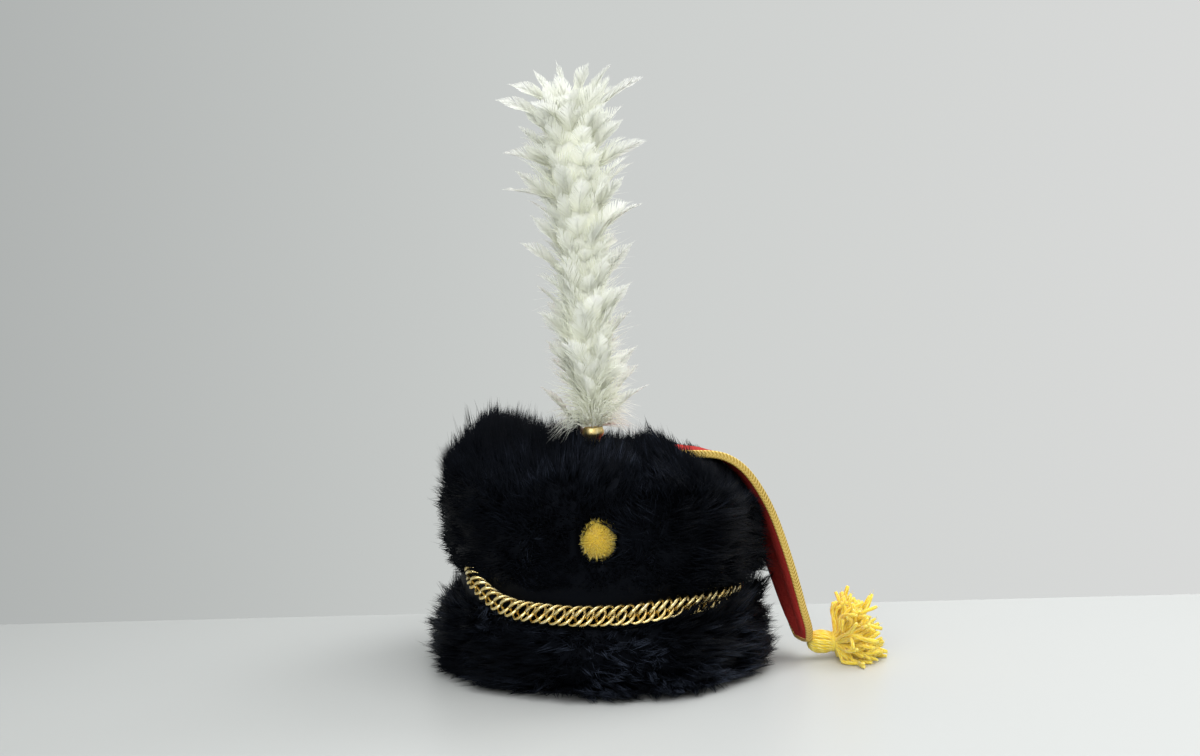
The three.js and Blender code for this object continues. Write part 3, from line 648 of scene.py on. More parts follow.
def bag_at(share, leans=True):
    """The bag at shares of its length: middle point, directions along, across and through, and half width.
    Through points to the outer side, and across turns about the line near the tip. At the crown's edge the
    front half leans up, and the back half stays level."""
    line = read(BAG_LINE, share)
    middle = np.stack([line["x"], np.zeros_like(share), line["z"]], -1)
    along = unit(np.stack([np.gradient(line["x"]), np.zeros_like(share), np.gradient(line["z"])], -1))
    turn = BAG["twist"] * ramp(share, *BAG["twists"])
    turn = turn * (1 + BAG["tip_turn"] * ramp(share, *BAG["tip_turns"]))
    if leans:
        turn = turn - BAG["lean"] * ramp(share, *BAG["leans"]) * (1 - ramp(share, *BAG["rights"]))
    flat = np.array([0.0, 1.0, 0.0])
    across = np.cos(turn)[:, None] * flat + np.sin(turn)[:, None] * np.cross(along, flat)
    return middle, along, across, np.cross(along, across), line["half"]


def chain_height(x):
    """The height of the chain's middle at places across the hat, from its table."""
    return np.interp(x, CHAIN_LINE["x"] * MM, CHAIN_LINE["z"] * MM)


# The fur.


def press_under_bag(points, room_beside):
    """Pushes points under the bag: those nearer to its inner face than the room there move in along the
    bag's own through direction, less and less beyond its two edges. Behind they move straight in, the push
    ends sooner, another room is kept beside the edge, and nothing sinks into the felt's crown."""
    share = np.linspace(PRESS["from"], 1.0, 60)
    middle, _, _, leaning, half = bag_at(share)
    level = bag_at(share, False)[3]
    flat = points.reshape(-1, 3)
    front = flat[:, 1] < 0
    near = np.argmin(((flat[:, None, ::2] - middle[None, :, ::2]) ** 2).sum(-1), axis=1)
    through = np.where(front[:, None], leaning[near], level[near])
    depth = ((flat - middle[near]) * through).sum(-1)
    beside = np.abs(flat[:, 1]) - half[near]
    hold = (1 - np.where(front, ramp(beside, *PRESS["front"]), ramp(beside, *PRESS["back"]))) * (near > 0)
    free = ramp(beside, 0, PRESS["free"]) * ~front
    push = np.maximum(depth + PRESS["room"] + (room_beside - PRESS["room"]) * free, 0) * hold
    inward = through * np.where(front[:, None], 1.0, np.array([1.0, 0.0, 1.0]))
    moved = flat - push[:, None] * inward
    out = off_felt(moved)
    bare = (out < 0) & ~front & (beside > 0)
    moved[:, 2] = np.where(bare, np.maximum(moved[:, 2], crown_top(out) + PRESS["over_felt"]), moved[:, 2])
    return moved.reshape(points.shape)


def boss_share(points):
    """How far points lie from the boss's middle, seen from the front, as a share of its oval."""
    return np.hypot((points[..., 0] - BOSS["x"]) / BOSS_HALF[0], (points[..., 2] - BOSS["z"]) / BOSS_HALF[2])


def press_round_boss(points, edge):
    """Parts the fur round the boss: points in front whose share of its oval is under edge move out to it."""
    share = boss_share(points)
    grow = np.where((share < edge) & (points[..., 1] < 0), edge / np.maximum(share, 0.2), 1.0)
    moved = points.copy()
    for axis, middle in ((0, BOSS["x"]), (2, BOSS["z"])):
        moved[..., axis] = middle + (points[..., axis] - middle) * grow
    return moved


def press_round_socket(points):
    """Keeps a round room about the plume's socket: points inside it move straight out to its edge."""
    off = points[..., :2] - PLUME_FOOT[:2]
    distance = np.linalg.norm(off, axis=-1, keepdims=True)
    moved = points.copy()
    moved[..., :2] = PLUME_FOOT[:2] + off * np.maximum(SOCKET_ROOM / np.maximum(distance, 1e-6), 1)
    return moved


def press_under_collar(centres):
    """Shortens the hairs before the plume's socket to the height of its collar, lower in a notch, less and
    less to its sides, and root and bend a little more than tip. Some hairs stay longer and lie over the
    collar."""
    beside = np.abs(centres[..., 0] - COLLAR["x"])
    limit = COLLAR["z"] - COLLAR["notch"] * (1 - ramp(beside, 0, COLLAR["notch_half"]))
    over = np.maximum(centres[..., 2] - limit * COLLAR["cut"], 0)
    before = (centres[:, :1, 1] < PLUME_FOOT[1]) * (1 - ramp(beside, *COLLAR["sides"]))
    veil = np.where(np.arange(len(centres)) % COLLAR["veil_every"], 1.0, COLLAR["veil"])[:, None]
    pressed = centres.copy()
    pressed[..., 2] -= over * before * veil
    return pressed


def over_chain(angle, side):
    """The share by which hair lies over the chain: none where the chain shows, and about half round the
    back. The upper coat gives way to the chain more slowly on the -X side than the lower one."""
    way = angle % TURN
    start, end = CHAIN_SHOWS["from"], CHAIN_SHOWS["to"]
    opened = ramp(way, start, start + CHAIN_SHOWS["opens"][side])
    closed = ramp(way, end, end + CHAIN_SHOWS["closes"])
    back = CHAIN_SHOWS["back"] * ramp(np.sin(angle), *CHAIN_SHOWS["back_from"])
    return (1 - opened * (1 - closed)) * (1 - back)


def press_off_chain(points, side):
    """Keeps hair off the chain: points beside it move up or down to its edge, but not where hair lies over
    it."""
    x, y, z = points[..., 0], points[..., 1], points[..., 2]
    beside = side * (z - chain_height(x))
    bare = 1 - over_chain(np.arctan2(y / CAP_HALF_LENGTH, x / CAP_HALF_WIDTH), side)
    within = np.maximum(CHAIN["half_height"] + CHAIN_CLEAR["gap"] - beside, 0)
    push = within * (off_felt(points) > CHAIN_CLEAR["out"]) * bare
    moved = points.copy()
    moved[..., 2] += side * np.minimum(push, CHAIN_CLEAR["limit"])
    return moved


def lowered(angle, height):
    """How much lower the fur's upper edge lies at an angle, as a share that grows to the whole with the
    height."""
    drop = np.interp(angle % TURN, np.radians(FUR_EDGE["angle"]), FUR_EDGE["drop"] * MM)
    return drop * ramp(height, *EDGE_HEIGHTS)


def climb(height, top, out):
    """Heights that rise to the crown's top where they lie under it: not at all a little off the felt's wall,
    and wholly just inside it."""
    return height + np.maximum(top - height, 0) * ramp(-out, *CLIMB)


def coat_lines(angle, share, side):
    """The roots, bends and tips of hairs at angles round the cap and shares of a coat's table. Hairs sweep
    from the front round to the back and sway with an uneven field. The first rows droop over the chain where
    it is hidden, more on the right. The lower coat follows the chain's rise, and swells on the left and at
    its front."""
    place = read(COATS[side], share)
    height = place["root_z"]
    sway = HAIR["sweep"] * np.sin(angle - FRONT) + HAIR["sway"] * ripple(angle, height, seed=11)
    height = height - lowered(angle, height + EDGE_DEPTH)
    height = climb(height, crown_top(place["root_out"]), place["root_out"])
    lift = HAIR["lift"] * ripple(angle, height, seed=12) - lowered(angle, place["tip_z"])
    swell = HAIR["swell"] * ripple(angle, height, seed=13, turns=14)
    first = 1 - ramp(share, *DROOP["rows"])
    hidden = over_chain(angle, side) * first
    right = ramp(np.cos(angle), *SIDES["right"])
    left = ramp(-np.cos(angle), *SIDES["left"])
    droop = (DROOP["down"] + DROOP["down_right"] * right + DROOP["down_left"] * left) * MM * hidden
    lift = lift * (1 - DROOP["calm_left"] * left * first) - side * droop
    swell = swell + (DROOP["out"] + DROOP["out_right"] * right + DROOP["out_left"] * left) * MM * hidden
    if side == LOWER:
        front = ramp(-np.sin(angle), *SIDES["front"])
        foot = LOWER_SWELL["front"] * front * ramp(share, *LOWER_SWELL["front_rows"])
        swell = swell + (LOWER_SWELL["left"] * left * (1 - first) + foot) * MM
        above = chain_height(CAP_HALF_WIDTH * CHAIN["reach"] * np.cos(angle)) - CHAIN["mean_height"]
        risen = LOWER_SWELL["follow"] * above * first * (1 - left)
        height = height + risen
        lift = lift + risen
    out = place["root_out"]
    reach = place["tip_out"] + swell - out
    least = HAIR["least_rise"] * ramp(share, *HAIR["rising_rows"]) * (side == UPPER)
    rise = np.maximum(place["tip_z"] + lift - height, least)
    root = around(angle, out, height)
    bend = around(angle + BEND["sway"] * sway, out + BEND["out"] * reach, height + BEND["rise"] * rise)
    tip = around(angle + sway, out + reach, height + rise)
    return root, bend, tip


def hairs(side, angles, shares, clumps, kind, seed):
    """Hairs in clumps. Each clump has a place in a range of angles and shares; its hairs grow round that
    place and their tips are drawn to its tip. Each hair runs from its root over a bend to its tip, and is
    pressed aside by what lies on the fur. None grows under the boss."""
    rng = np.random.default_rng(seed)
    each = (clumps, kind["per_clump"])
    angle = rng.uniform(*angles, (clumps, 1))
    share = rng.uniform(*shares, (clumps, 1))
    apart = HAIR["clump"] / (CAP_MEAN_RADIUS + HAIR["clump_out"])
    hair_angle = angle + rng.normal(0, apart, each)
    hair_share = np.clip(share + rng.normal(0, HAIR["clump_share"], each), 0, 1)
    root, bend, tip = coat_lines(hair_angle, hair_share, side)
    _, clump_bend, clump_tip = coat_lines(angle, share, side)
    draw = rng.uniform(*DRAWN[side], (clumps, 1, 1))
    stray = rng.normal(0, HAIR["stray"], (clumps, 1, 3))
    tip = tip + draw * (clump_tip - tip) + stray
    bend = bend + BEND["drawn"] * draw * (clump_bend - bend)
    length = rng.uniform(*kind["reach"], (*each, 1)) * rng.uniform(*HAIR["clump_reach"], (clumps, 1, 1))
    tip = root + length * (tip - root) + rng.normal(0, HAIR["tip_stray"], tip.shape)
    bend = root + length * (bend - root) + rng.normal(0, HAIR["bend_stray"], tip.shape)
    centres = np.stack([root, bend, tip], -2).reshape(-1, 3, 3)
    centres[:, 1:] = press_under_bag(centres[:, 1:], ROOM_BESIDE["hair"])
    centres[:, 1:] = press_round_socket(centres[:, 1:])
    middle = centres[:, 1:].mean(1)
    kept = (boss_share(centres[:, 0]) > PARTING["root"]) | (centres[:, 0, 1] > 0)
    kept &= (boss_share(middle) > PARTING["middle"]) | (middle[:, 1] > 0)
    tint = np.broadcast_to(rng.uniform(*HAIR["tint"], (clumps, 1)), each).ravel()[kept, None]
    centres = centres[kept]
    centres[:, 2] = press_round_boss(centres[:, 2], PARTING["tip"])
    centres[:, 1] = press_round_boss(centres[:, 1], PARTING["bend"])
    centres[:, 1:] = press_off_chain(centres[:, 1:], side)
    centres = press_under_collar(centres)
    centres[..., 1] = np.maximum(centres[..., 1], FUR_FRONT)
    centres[..., 2] = np.maximum(centres[..., 2], FUR_FOOT)
    count = len(centres)
    thick = kind["radius"] * rng.uniform(*HAIR["thick"], (count, 1)) * HAIR["taper"]
    # Hairs are painted darker at the root and lighter to the tip and on the lower coat: painted shade and
    # sheen.
    shade = PAINTED_SHEEN[side] * tint * rng.uniform(*HAIR["shade"], (count, 1)) * HAIR["tone"]
    return strands(centres, thick), tone_of(shade)


def pelt_skin(table, rows, seed):
    """The skin under the hairs: a closed profile carried round the cap's oval, uneven on its outside, and
    pressed in under the bag and behind the boss."""
    share = np.linspace(0, 1, rows)
    place = {name: values[:, None] for name, values in read(table, share).items()}
    angle = circle(SKIN["steps"])[None]
    uneven = SKIN["uneven"] * ripple(angle, place["z"], seed) * ramp(place["out"], *SKIN["uneven_out"])
    height = np.maximum(place["z"], SKIN["foot"])
    outside = ramp(share, *SKIN["outside"])[:, None]
    lip = crown_top(place["out"]) + SKIN["lip"] * (place["z"] - SKIN["lip_over"])
    low = climb(height - lowered(angle, height + EDGE_DEPTH) * outside, lip, place["out"])
    points = press_under_bag(around(angle, place["out"] + uneven, low), ROOM_BESIDE["skin"])
    behind = 1 - ramp(boss_share(points), *SKIN["hollow"])
    back = -(CAP_HALF_LENGTH + SKIN["hollow_out"])
    points[..., 1] += np.where(points[..., 1] < back, behind * (back - points[..., 1]), 0)
    return points.reshape(-1, 3), grid_faces(rows, SKIN["steps"])


def make_fur(material):
    """The upper and lower pelts: each a skin and its hairs, in pieces by the side of the cap."""
    front, back = (math.pi, TURN), (0, math.pi)
    upper_skin = pelt_skin(UPPER_SKIN, rows=44, seed=3)
    lower_skin = pelt_skin(LOWER_SKIN, rows=26, seed=4)
    batches = [
        ("fur_upper_front", "fur_upper", UPPER, front, (0.0, 0.6), 820, 21, upper_skin),
        ("fur_upper_back", "fur_upper", UPPER, back, (0.0, 0.6), 540, 22, None),
        ("fur_crown_front", "fur_upper", UPPER, front, (0.55, 1.0), 935, 23, None),
        ("fur_crown_back", "fur_upper", UPPER, back, (0.55, 1.0), 475, 26, None),
        ("fur_lower_front", "fur_lower", LOWER, front, (0.0, 1.0), 800, 24, lower_skin),
        ("fur_lower_back", "fur_lower", LOWER, back, (0.0, 1.0), 540, 25, None),
    ]
    for name, node, side, angles, shares, clumps, seed, under in batches:
        shape, tone = hairs(side, angles, shares, clumps, HAIR, seed)
        flyaway, faint = hairs(side, angles, shares, clumps // 2, FLYAWAY, seed + 50)
        shape, tone = join(shape, flyaway), np.concatenate([tone, faint])
        if under is not None:
            shape, tone = join(shape, under), np.concatenate([tone, np.zeros(len(under[0]))])
        piece(name, shape, material, node, tone=tone)


# The chin chain.


def chin_chain():
    """A curb chain: oval rings one after the other round the waist, in pairs. Each ring leans towards its
    top and stands out at one end, and is turned about the chain's line in proportion to the distance from
    its middle, so that it passes through the next. At the hat's two sides the chain dives into the fur."""
    steps, sides = 22, 7
    count = LINK["count"]
    fine = np.linspace(0, TURN, 2001)
    loop = around(fine, CHAIN["out"], 0 * fine)
    loop[:, 2] = chain_height(loop[:, 0])
    length = run_along(loop)
    place = np.arange(count) + LINK["pairing"] * np.where(np.arange(count) % 2, -0.5, 0.5)
    turn = circle(steps)
    theta = -LINK["twist"] * np.cos(turn)
    up = LINK["half_height"] * np.sin(turn) * np.cos(theta)
    outward = LINK["half_height"] * np.sin(turn) * np.sin(theta)
    reach = LINK["half_length"] * np.cos(turn) + LINK["slant"] * up
    local = np.interp((place / count * length[-1])[:, None] + reach, length, fine, period=length[-1])
    dive = CHAIN["dive"] * ramp(np.abs(np.cos(local)), *CHAIN["dives"])
    centres = around(local, CHAIN["out"] + outward + LINK["tilt"] * reach - dive, 0 * local)
    centres[..., 2] = chain_height(around(local, CHAIN["out"], 0 * local)[..., 0]) + up
    return tube_loops(centres, flat_way(local), CHAIN["wire"], sides)


# The boss.


def boss():
    """A pompom: an oval core, and wool fibres that stand out from it on evenly spread directions and lean
    a little, shorter at a notch under its middle."""
    rng = np.random.default_rng(31)
    count = BOSS["fibres"]
    index = np.arange(count) + 0.5
    up = 1 - 2 * index / count
    flat = np.sqrt(1 - up * up)
    outward = np.stack([flat * np.cos(GOLDEN_TURN * index), flat * np.sin(GOLDEN_TURN * index), up], -1)
    notch = BOSS["notch"] * np.exp(-((outward[:, 0] / BOSS["notch_half"]) ** 2))
    notch = notch * ramp(-outward[:, 2], *BOSS["notch_below"])
    reach = rng.uniform(*BOSS["reach"], (count, 1)) - notch[:, None]
    lean = rng.normal(0, BOSS["lean"], (count, 3))
    centre = np.array([BOSS["x"], -(CAP_HALF_LENGTH + BOSS["out"]), BOSS["z"]])
    shares = BOSS["along"][:, None]
    bent = outward[:, None] * (shares * reach[:, None]) + lean[:, None] * shares ** 2
    centres = centre + bent * BOSS_HALF
    thick = BOSS["fibre"] * rng.uniform(*BOSS["thick"], (count, 1)) * BOSS["taper"]
    # Each fibre is painted darker towards its root, deep in the pompom: painted shade.
    shade = rng.uniform(*BOSS["shade"], (count, 1)) * BOSS["tone"]
    fall = np.linspace(0.02, math.pi - 0.02, 14)
    core, faces = turned(np.sin(fall)[::-1] * BOSS["core"], np.cos(fall)[::-1] * BOSS["core"], steps=24)
    core = (centre + core * BOSS_HALF, faces)
    tone = np.concatenate([tone_of(shade), np.full(len(core[0]), 0.6)])
    return join(strands(centres, thick), core), tone


# The plume.


def on_stem(points):
    """Points from the plume's upright frame into place: leant about Y and moved to the socket's foot."""
    x = points[..., 0] * math.cos(PLUME_LEAN) - points[..., 2] * math.sin(PLUME_LEAN)
    z = points[..., 0] * math.sin(PLUME_LEAN) + points[..., 2] * math.cos(PLUME_LEAN)
    return PLUME_FOOT + np.stack([x, points[..., 1], z], -1)


def plume_socket():
    """A turned gilt ferrule: its profile up the outside, in over the lip and down the bore."""
    place = read(SOCKET_OUTSIDE, np.linspace(0, 1, 60))
    points, faces = turned(place["radius"], place["along"], steps=40)
    return on_stem(points), faces


def feathers(angle, along, length, lift, bend, roll, width, sway, points, barbs, seed):
    """Feathers on the stem. A quill leaves the stem at its lift and curls outwards and down towards its tip.
    Flat narrowing ribbons for barbs run from both its sides, slanting forward and overlapping, so that they
    close into a vane that ends in a point. The vane is rolled about the quill and a little cupped, and the
    barbs near the root are loose and long."""
    rng = np.random.default_rng(seed)
    count = len(angle)
    angle, along, length, lift, bend, roll, width, sway = (
        value[:, None] for value in (angle, along, length, lift, bend, roll, width, sway))
    outward = flat_way(angle)
    aside = np.stack([-np.sin(angle), np.cos(angle), 0 * angle], -1)
    point = rng.uniform(*points, (count, 1))
    cup = rng.uniform(*VANE["cup"], (count, 1))
    waves = rng.uniform(*VANE["waves"], (count, 1))
    start_wave = rng.uniform(0, TURN, (count, 1))

    def quill(share):
        """Points on the quills: out by the lift's sine and up by its cosine, bent by rising powers."""
        share = np.maximum(share, 0)
        off = STEM + length * (np.sin(lift) * share + bend * share ** 2.5)
        rise = along + length * (np.cos(lift) * share - DROP * bend * share ** 3.5)
        return outward * off[..., None] + UP * rise[..., None] + aside * (sway * share ** 2)[..., None]

    side = np.where(np.arange(barbs) % 2, 1.0, -1.0)
    share = np.linspace(*VANE["along"], barbs) + rng.uniform(-VANE["uneven"], VANE["uneven"], (count, barbs))
    line = unit(quill(share + VANE["step"]) - quill(share - VANE["step"]))
    level = unit(aside - (aside * line).sum(-1, keepdims=True) * line)
    turn = (roll * (VANE["root_roll"] + (1 - VANE["root_roll"]) * share))[..., None]
    across = np.cos(turn) * level + np.sin(turn) * np.cross(level, line)
    face = np.cross(across, line)
    narrowed = np.clip((share - VANE["narrows"]) / (1 - VANE["narrows"]), 0, 1)
    pointed = (1 - narrowed ** VANE["fall"]) ** point
    widened = VANE["root_width"] + (1 - VANE["root_width"]) * ramp(share, *VANE["widens"])
    half = width / 2 * widened * pointed
    loose = (VANE["loose"] - VANE["closed"] * ramp(share, *VANE["closes"])) * MM
    loose = loose * rng.uniform(0.2, 1.0, share.shape)
    spread = half * rng.uniform(0.96, 1.03, share.shape) + loose
    forward = (BARB["slant"] * half + BARB["advance"]) * rng.uniform(0.97, 1.04, share.shape)
    wave = VANE["wave"] * np.sin(share * waves + start_wave) * side
    sink = (wave - cup * rng.uniform(0.92, 1.08, share.shape)) * half
    root = quill(share)
    tip = (root + across * (side * spread)[..., None] + line * forward[..., None]
           + face * (sink + rng.normal(0, VANE["stray"], share.shape))[..., None])
    wide = line * side[:, None] * BARB["half_width"]
    section = np.stack([-wide, wide, face * BARB["thickness"]], -2)
    rings = np.stack([root[..., None, :] + section, tip[..., None, :] + BARB["narrow"] * section], -3)
    vanes = skin(rings.reshape(-1, 2, 3, 3))
    # The barbs are painted darker at the quill and lighter to their ends and the feather's tip: painted
    # shade and highlight.
    vane_tone = tone_of(np.stack([share, share + 0.3], -1).reshape(-1, 2), pointed=False)

    places = SHAFT["along"] + 0 * angle
    shafts = strands(quill(places), np.broadcast_to(SHAFT["radius"], places.shape))
    points, faces = join(vanes, shafts)
    return (on_stem(points), faces), np.concatenate([vane_tone, tone_of(places)])


def down(rng):
    """Down between the feathers, thickest at the plume's foot: soft strands that leave the core at a wide
    angle, less wide in front. At the foot they spread to the sides and droop over the fur."""
    count = DOWN["count"]
    angle = rng.uniform(0, TURN, count)
    along = (DOWN["from"] + DOWN["length"] * rng.beta(*DOWN["spread"], count)) * MM
    lift = rng.uniform(*DOWN["lift"], count)
    low = ramp(-along, *DOWN["foot"])
    lift = lift - (0.5 - 0.3 * low) * ramp(-np.sin(angle), 0.3, 0.8)
    lift = lift + (0.5 * ramp(-np.cos(angle), 0.1, 0.8) + 0.25 * ramp(np.cos(angle), 0.3, 0.9)) * low
    length = rng.uniform(*DOWN["reach"], count) * MM
    outward = flat_way(angle)
    aim = outward * np.sin(lift)[:, None] + UP * np.cos(lift)[:, None]
    root = outward * DOWN["root"] + UP * along[:, None]
    middle = root + aim * (0.6 * length)[:, None]
    tip = root + aim * length[:, None] + rng.normal(0, DOWN["stray"], (count, 3))
    tip[:, 2] -= (0.18 + 0.14 * ramp(np.abs(np.cos(angle)), 0.3, 0.8)) * length * low
    centres = on_stem(np.stack([root, middle, tip], 1))
    shape = strands(centres, np.broadcast_to(DOWN["radius"], (count, 3)))
    # The down is painted darker at its root and lighter at its tip: painted shade and highlight.
    return shape, tone_of(np.broadcast_to(DOWN["tone"], (count, 3)))


def plume():
    """The plume: layers of feathers set round the stem by the golden turn, the long feathers that make its
    outline, a core of packed quills, and down."""
    rng = np.random.default_rng(41)

    def layer(count, low, high, lift, length, width, bend, seed):
        """Feathers at even steps up the stem, with their sizes drawn from ranges. In front and behind they
        stand out more."""
        angle = GOLDEN_TURN * np.arange(count) + rng.uniform(-LAYER["uneven"], LAYER["uneven"], count)
        fuller = 1 + LAYER["fuller"] * np.abs(np.sin(angle))
        return feathers(
            angle, np.linspace(low, high, count) * MM, rng.uniform(*length, count) * MM,
            rng.uniform(*lift, count) * fuller, rng.uniform(*bend, count),
            rng.normal(0, LAYER["roll"], count), rng.uniform(*width, count) * MM,
            rng.normal(0, LAYER["sway"], count), LAYER["points"], LAYER["barbs"], seed)

    def outline_layer():
        """Feathers whose tips end on the outline: the lift and the place on the stem follow from each
        tip."""
        off, up = PLUME_OUTLINE["off"] * MM, PLUME_OUTLINE["up"] * MM
        count = len(off)
        length = rng.uniform(*OUTLINE["length"], count) * MM
        bend = rng.uniform(*OUTLINE["bend"], count)
        lift = np.arcsin(np.clip((np.abs(off) - STEM) / length - bend, 0.05, 0.95))
        aside = rng.uniform(-OUTLINE["uneven"], OUTLINE["uneven"], count)
        along = up - length * (np.cos(lift) - DROP * bend)
        return feathers(
            np.where(off > 0, 0.0, math.pi) + aside, along, length, lift, bend,
            rng.uniform(*OUTLINE["roll"], count), rng.uniform(*OUTLINE["width"], count) * MM,
            rng.normal(0, OUTLINE["sway"], count), OUTLINE["points"], OUTLINE["barbs"], OUTLINE["seed"])

    parts = [layer(*sizes) for sizes in PLUME_LAYERS]
    parts.append(outline_layer())
    share = np.linspace(0, 1, 40)
    along = CORE_ALONG["from"] + CORE_ALONG["length"] * share
    core, faces = turned(smooth(PLUME_CORE, share), along, steps=24)
    # The core is painted a light ivory, lighter than the feathers' roots, so gaps between feathers show less
    # shade: painted light.
    parts += [((on_stem(core), faces), np.full(len(core), 0.5)), down(rng)]
    return join(*(shape for shape, _ in parts)), np.concatenate([tone for _, tone in parts])


# The bag, its braid and its tassel.


def bag():
    """The bag: a doubled panel of cloth on a grid along its line and across its width. It hangs in soft
    lengthwise folds that grow below the crown, crests over the fur's edge, stays above the felt, and its two
    faces meet in rounded edges. Gives its flat size and area too."""
    rows, across_steps = 150, 33
    share = np.linspace(0, 1, rows)
    middle, _, leaning, leaning_out, half = bag_at(share)
    _, _, level, level_out, _ = bag_at(share, False)
    side = np.sin(np.linspace(-math.pi / 2, math.pi / 2, across_steps))
    front = (side < 0)[:, None]
    across = np.where(front, leaning[:, None], level[:, None])
    through = np.where(front, leaning_out[:, None], level_out[:, None])
    hang = ramp(share, *BAG["hangs"])[:, None] * (1 - ramp(share, *BAG["gathers"]))[:, None]
    fold = hang * (BAG["fold"] * np.cos(1.5 * math.pi * side) - BAG["curl"] * side ** 2)
    lie = (1 - ramp(share, *BAG["lies"]))[:, None] * BAG["wave"] * np.sin(9 * side + 14 * share[:, None])
    thick = BAG["thickness"] / 2 * np.sqrt(np.maximum(1 - side ** 6, 0.02))
    crest = BAG["crest"] * np.exp(-((share - BAG["crest_at"]) / BAG["crest_spread"]) ** 2)[:, None]
    offset = fold + lie + crest * (1 - side ** 2)
    outer = (middle[:, None] + across * (half[:, None] * side)[..., None]
             + through * (offset + thick)[..., None])
    inner = outer - through * (2 * thick * np.ones_like(offset))[..., None]
    out = off_felt(inner)
    risen = np.where(out < 0, np.maximum(crown_top(out) + BAG["over_felt"] - inner[..., 2], 0), 0)
    outer[..., 2] += risen
    inner[..., 2] += risen
    points, faces = skin(np.concatenate([outer, inner[:, ::-1]], 1)[None])
    length = run_along(middle)
    across_uv = np.concatenate([side, side[::-1]])[None] * half[:, None]
    uv = np.stack([across_uv, np.broadcast_to(length[:, None], across_uv.shape)], -1).reshape(-1, 2)
    area = float(np.sum((half[1:] + half[:-1]) * np.diff(length)))
    return (points, faces[:, ::-1]), uv, (2 * float(half.max()), float(length[-1])), area


def bag_braid():
    """The braid: a flat band down the front edge, round the tip and up the back edge. Its section is a
    rounded box, and its face is raised in slanting threads that meet in a middle groove."""
    rows, sides = 420, 20
    share = np.linspace(BRAID["from"], 1, 200)
    offset = BRAID["gap"] + BRAID["depth"] / 2
    middle, along, across, through, half = bag_at(share)
    _, _, level, level_out, _ = bag_at(share, False)
    bulge = np.linspace(-1, 1, 24)[1:-1, None]
    tip = (middle[-1] + along[-1] * (offset + BRAID["tip_bulge"] * (1 - bulge ** 2))
           + across[-1] * bulge * (half[-1] + offset))
    rising = slice(None, BRAID["back_rows"], -1)
    beside = (half + offset)[:, None]
    line = np.concatenate([middle - across * beside, tip, (middle + level * beside)[rising]])
    outward = np.concatenate([-across, np.broadcast_to(along[-1], tip.shape), level[rising]])
    deep = np.concatenate([through, np.broadcast_to(through[-1], tip.shape), level_out[rising]])
    length = run_along(line)
    even = np.linspace(0, length[-1], rows)
    line, outward, deep = (
        np.stack([np.interp(even, length, way) for way in values.T], -1) for values in (line, outward, deep))
    outward = unit(outward)
    deep = unit(deep)
    line = line + deep * BRAID["outward"]
    turn = circle(sides)
    squared = np.maximum(np.abs(np.cos(turn)), np.abs(np.sin(turn))) ** BRAID["square"]
    wide, high = np.cos(turn) / squared, np.sin(turn) / squared
    slant = np.abs(np.sin(math.pi * (even[:, None] / BRAID["plait"] + BRAID["slant"] * np.abs(wide))))
    groove = BRAID["groove"] * np.exp(-((wide / BRAID["groove_half"]) ** 2))
    relief = BRAID["relief"] * (slant - 0.5) * (1 - groove)
    rings = (line[:, None] + deep[:, None] * (wide * BRAID["width"] / 2)[None, :, None]
             + outward[:, None] * (high * (BRAID["depth"] / 2 + relief))[..., None])
    # The plait's relief gives the tone: ridges painted light, grooves painted dark, as painted highlight and
    # shade.
    return skin(rings[None]), slant.ravel()


def yarns(centres, radius, twist, sides=9):
    """Three-ply yarn along rows of centres: a ring with three lobes that turns steadily along the yarn, with
    blunt, slightly narrowed ends."""
    count, stations = centres.shape[:2]
    run = np.linspace(0, 1, stations)
    lobes = 1 + LOBE * np.cos(3 * (circle(sides) - twist * run[:, None] * TURN / 3))
    ends = np.clip(np.minimum(run, 1 - run) / YARN_END["along"], 0, 1) * YARN_END["narrow"]
    ends = ends + 1 - YARN_END["narrow"]
    size = radius[:, None, None] * (lobes * ends[:, None])[None]
    shape = skin(centres[:, :, None] + ring_round(*square_to(centres), sides) * size[..., None])
    # The grooves between the plies are painted darker: painted shade.
    tone = np.broadcast_to((lobes - (1 - LOBE)) / (2 * LOBE), (count, stations, sides)).ravel()
    return shape, tone


def round_tassel(along, radius, angle):
    """Points round the tassel's line, which runs from its top to +X."""
    aside, up = radius * np.cos(angle), radius * np.sin(angle)
    return TASSEL_TOP + np.stack(np.broadcast_arrays(along, aside, up), -1)


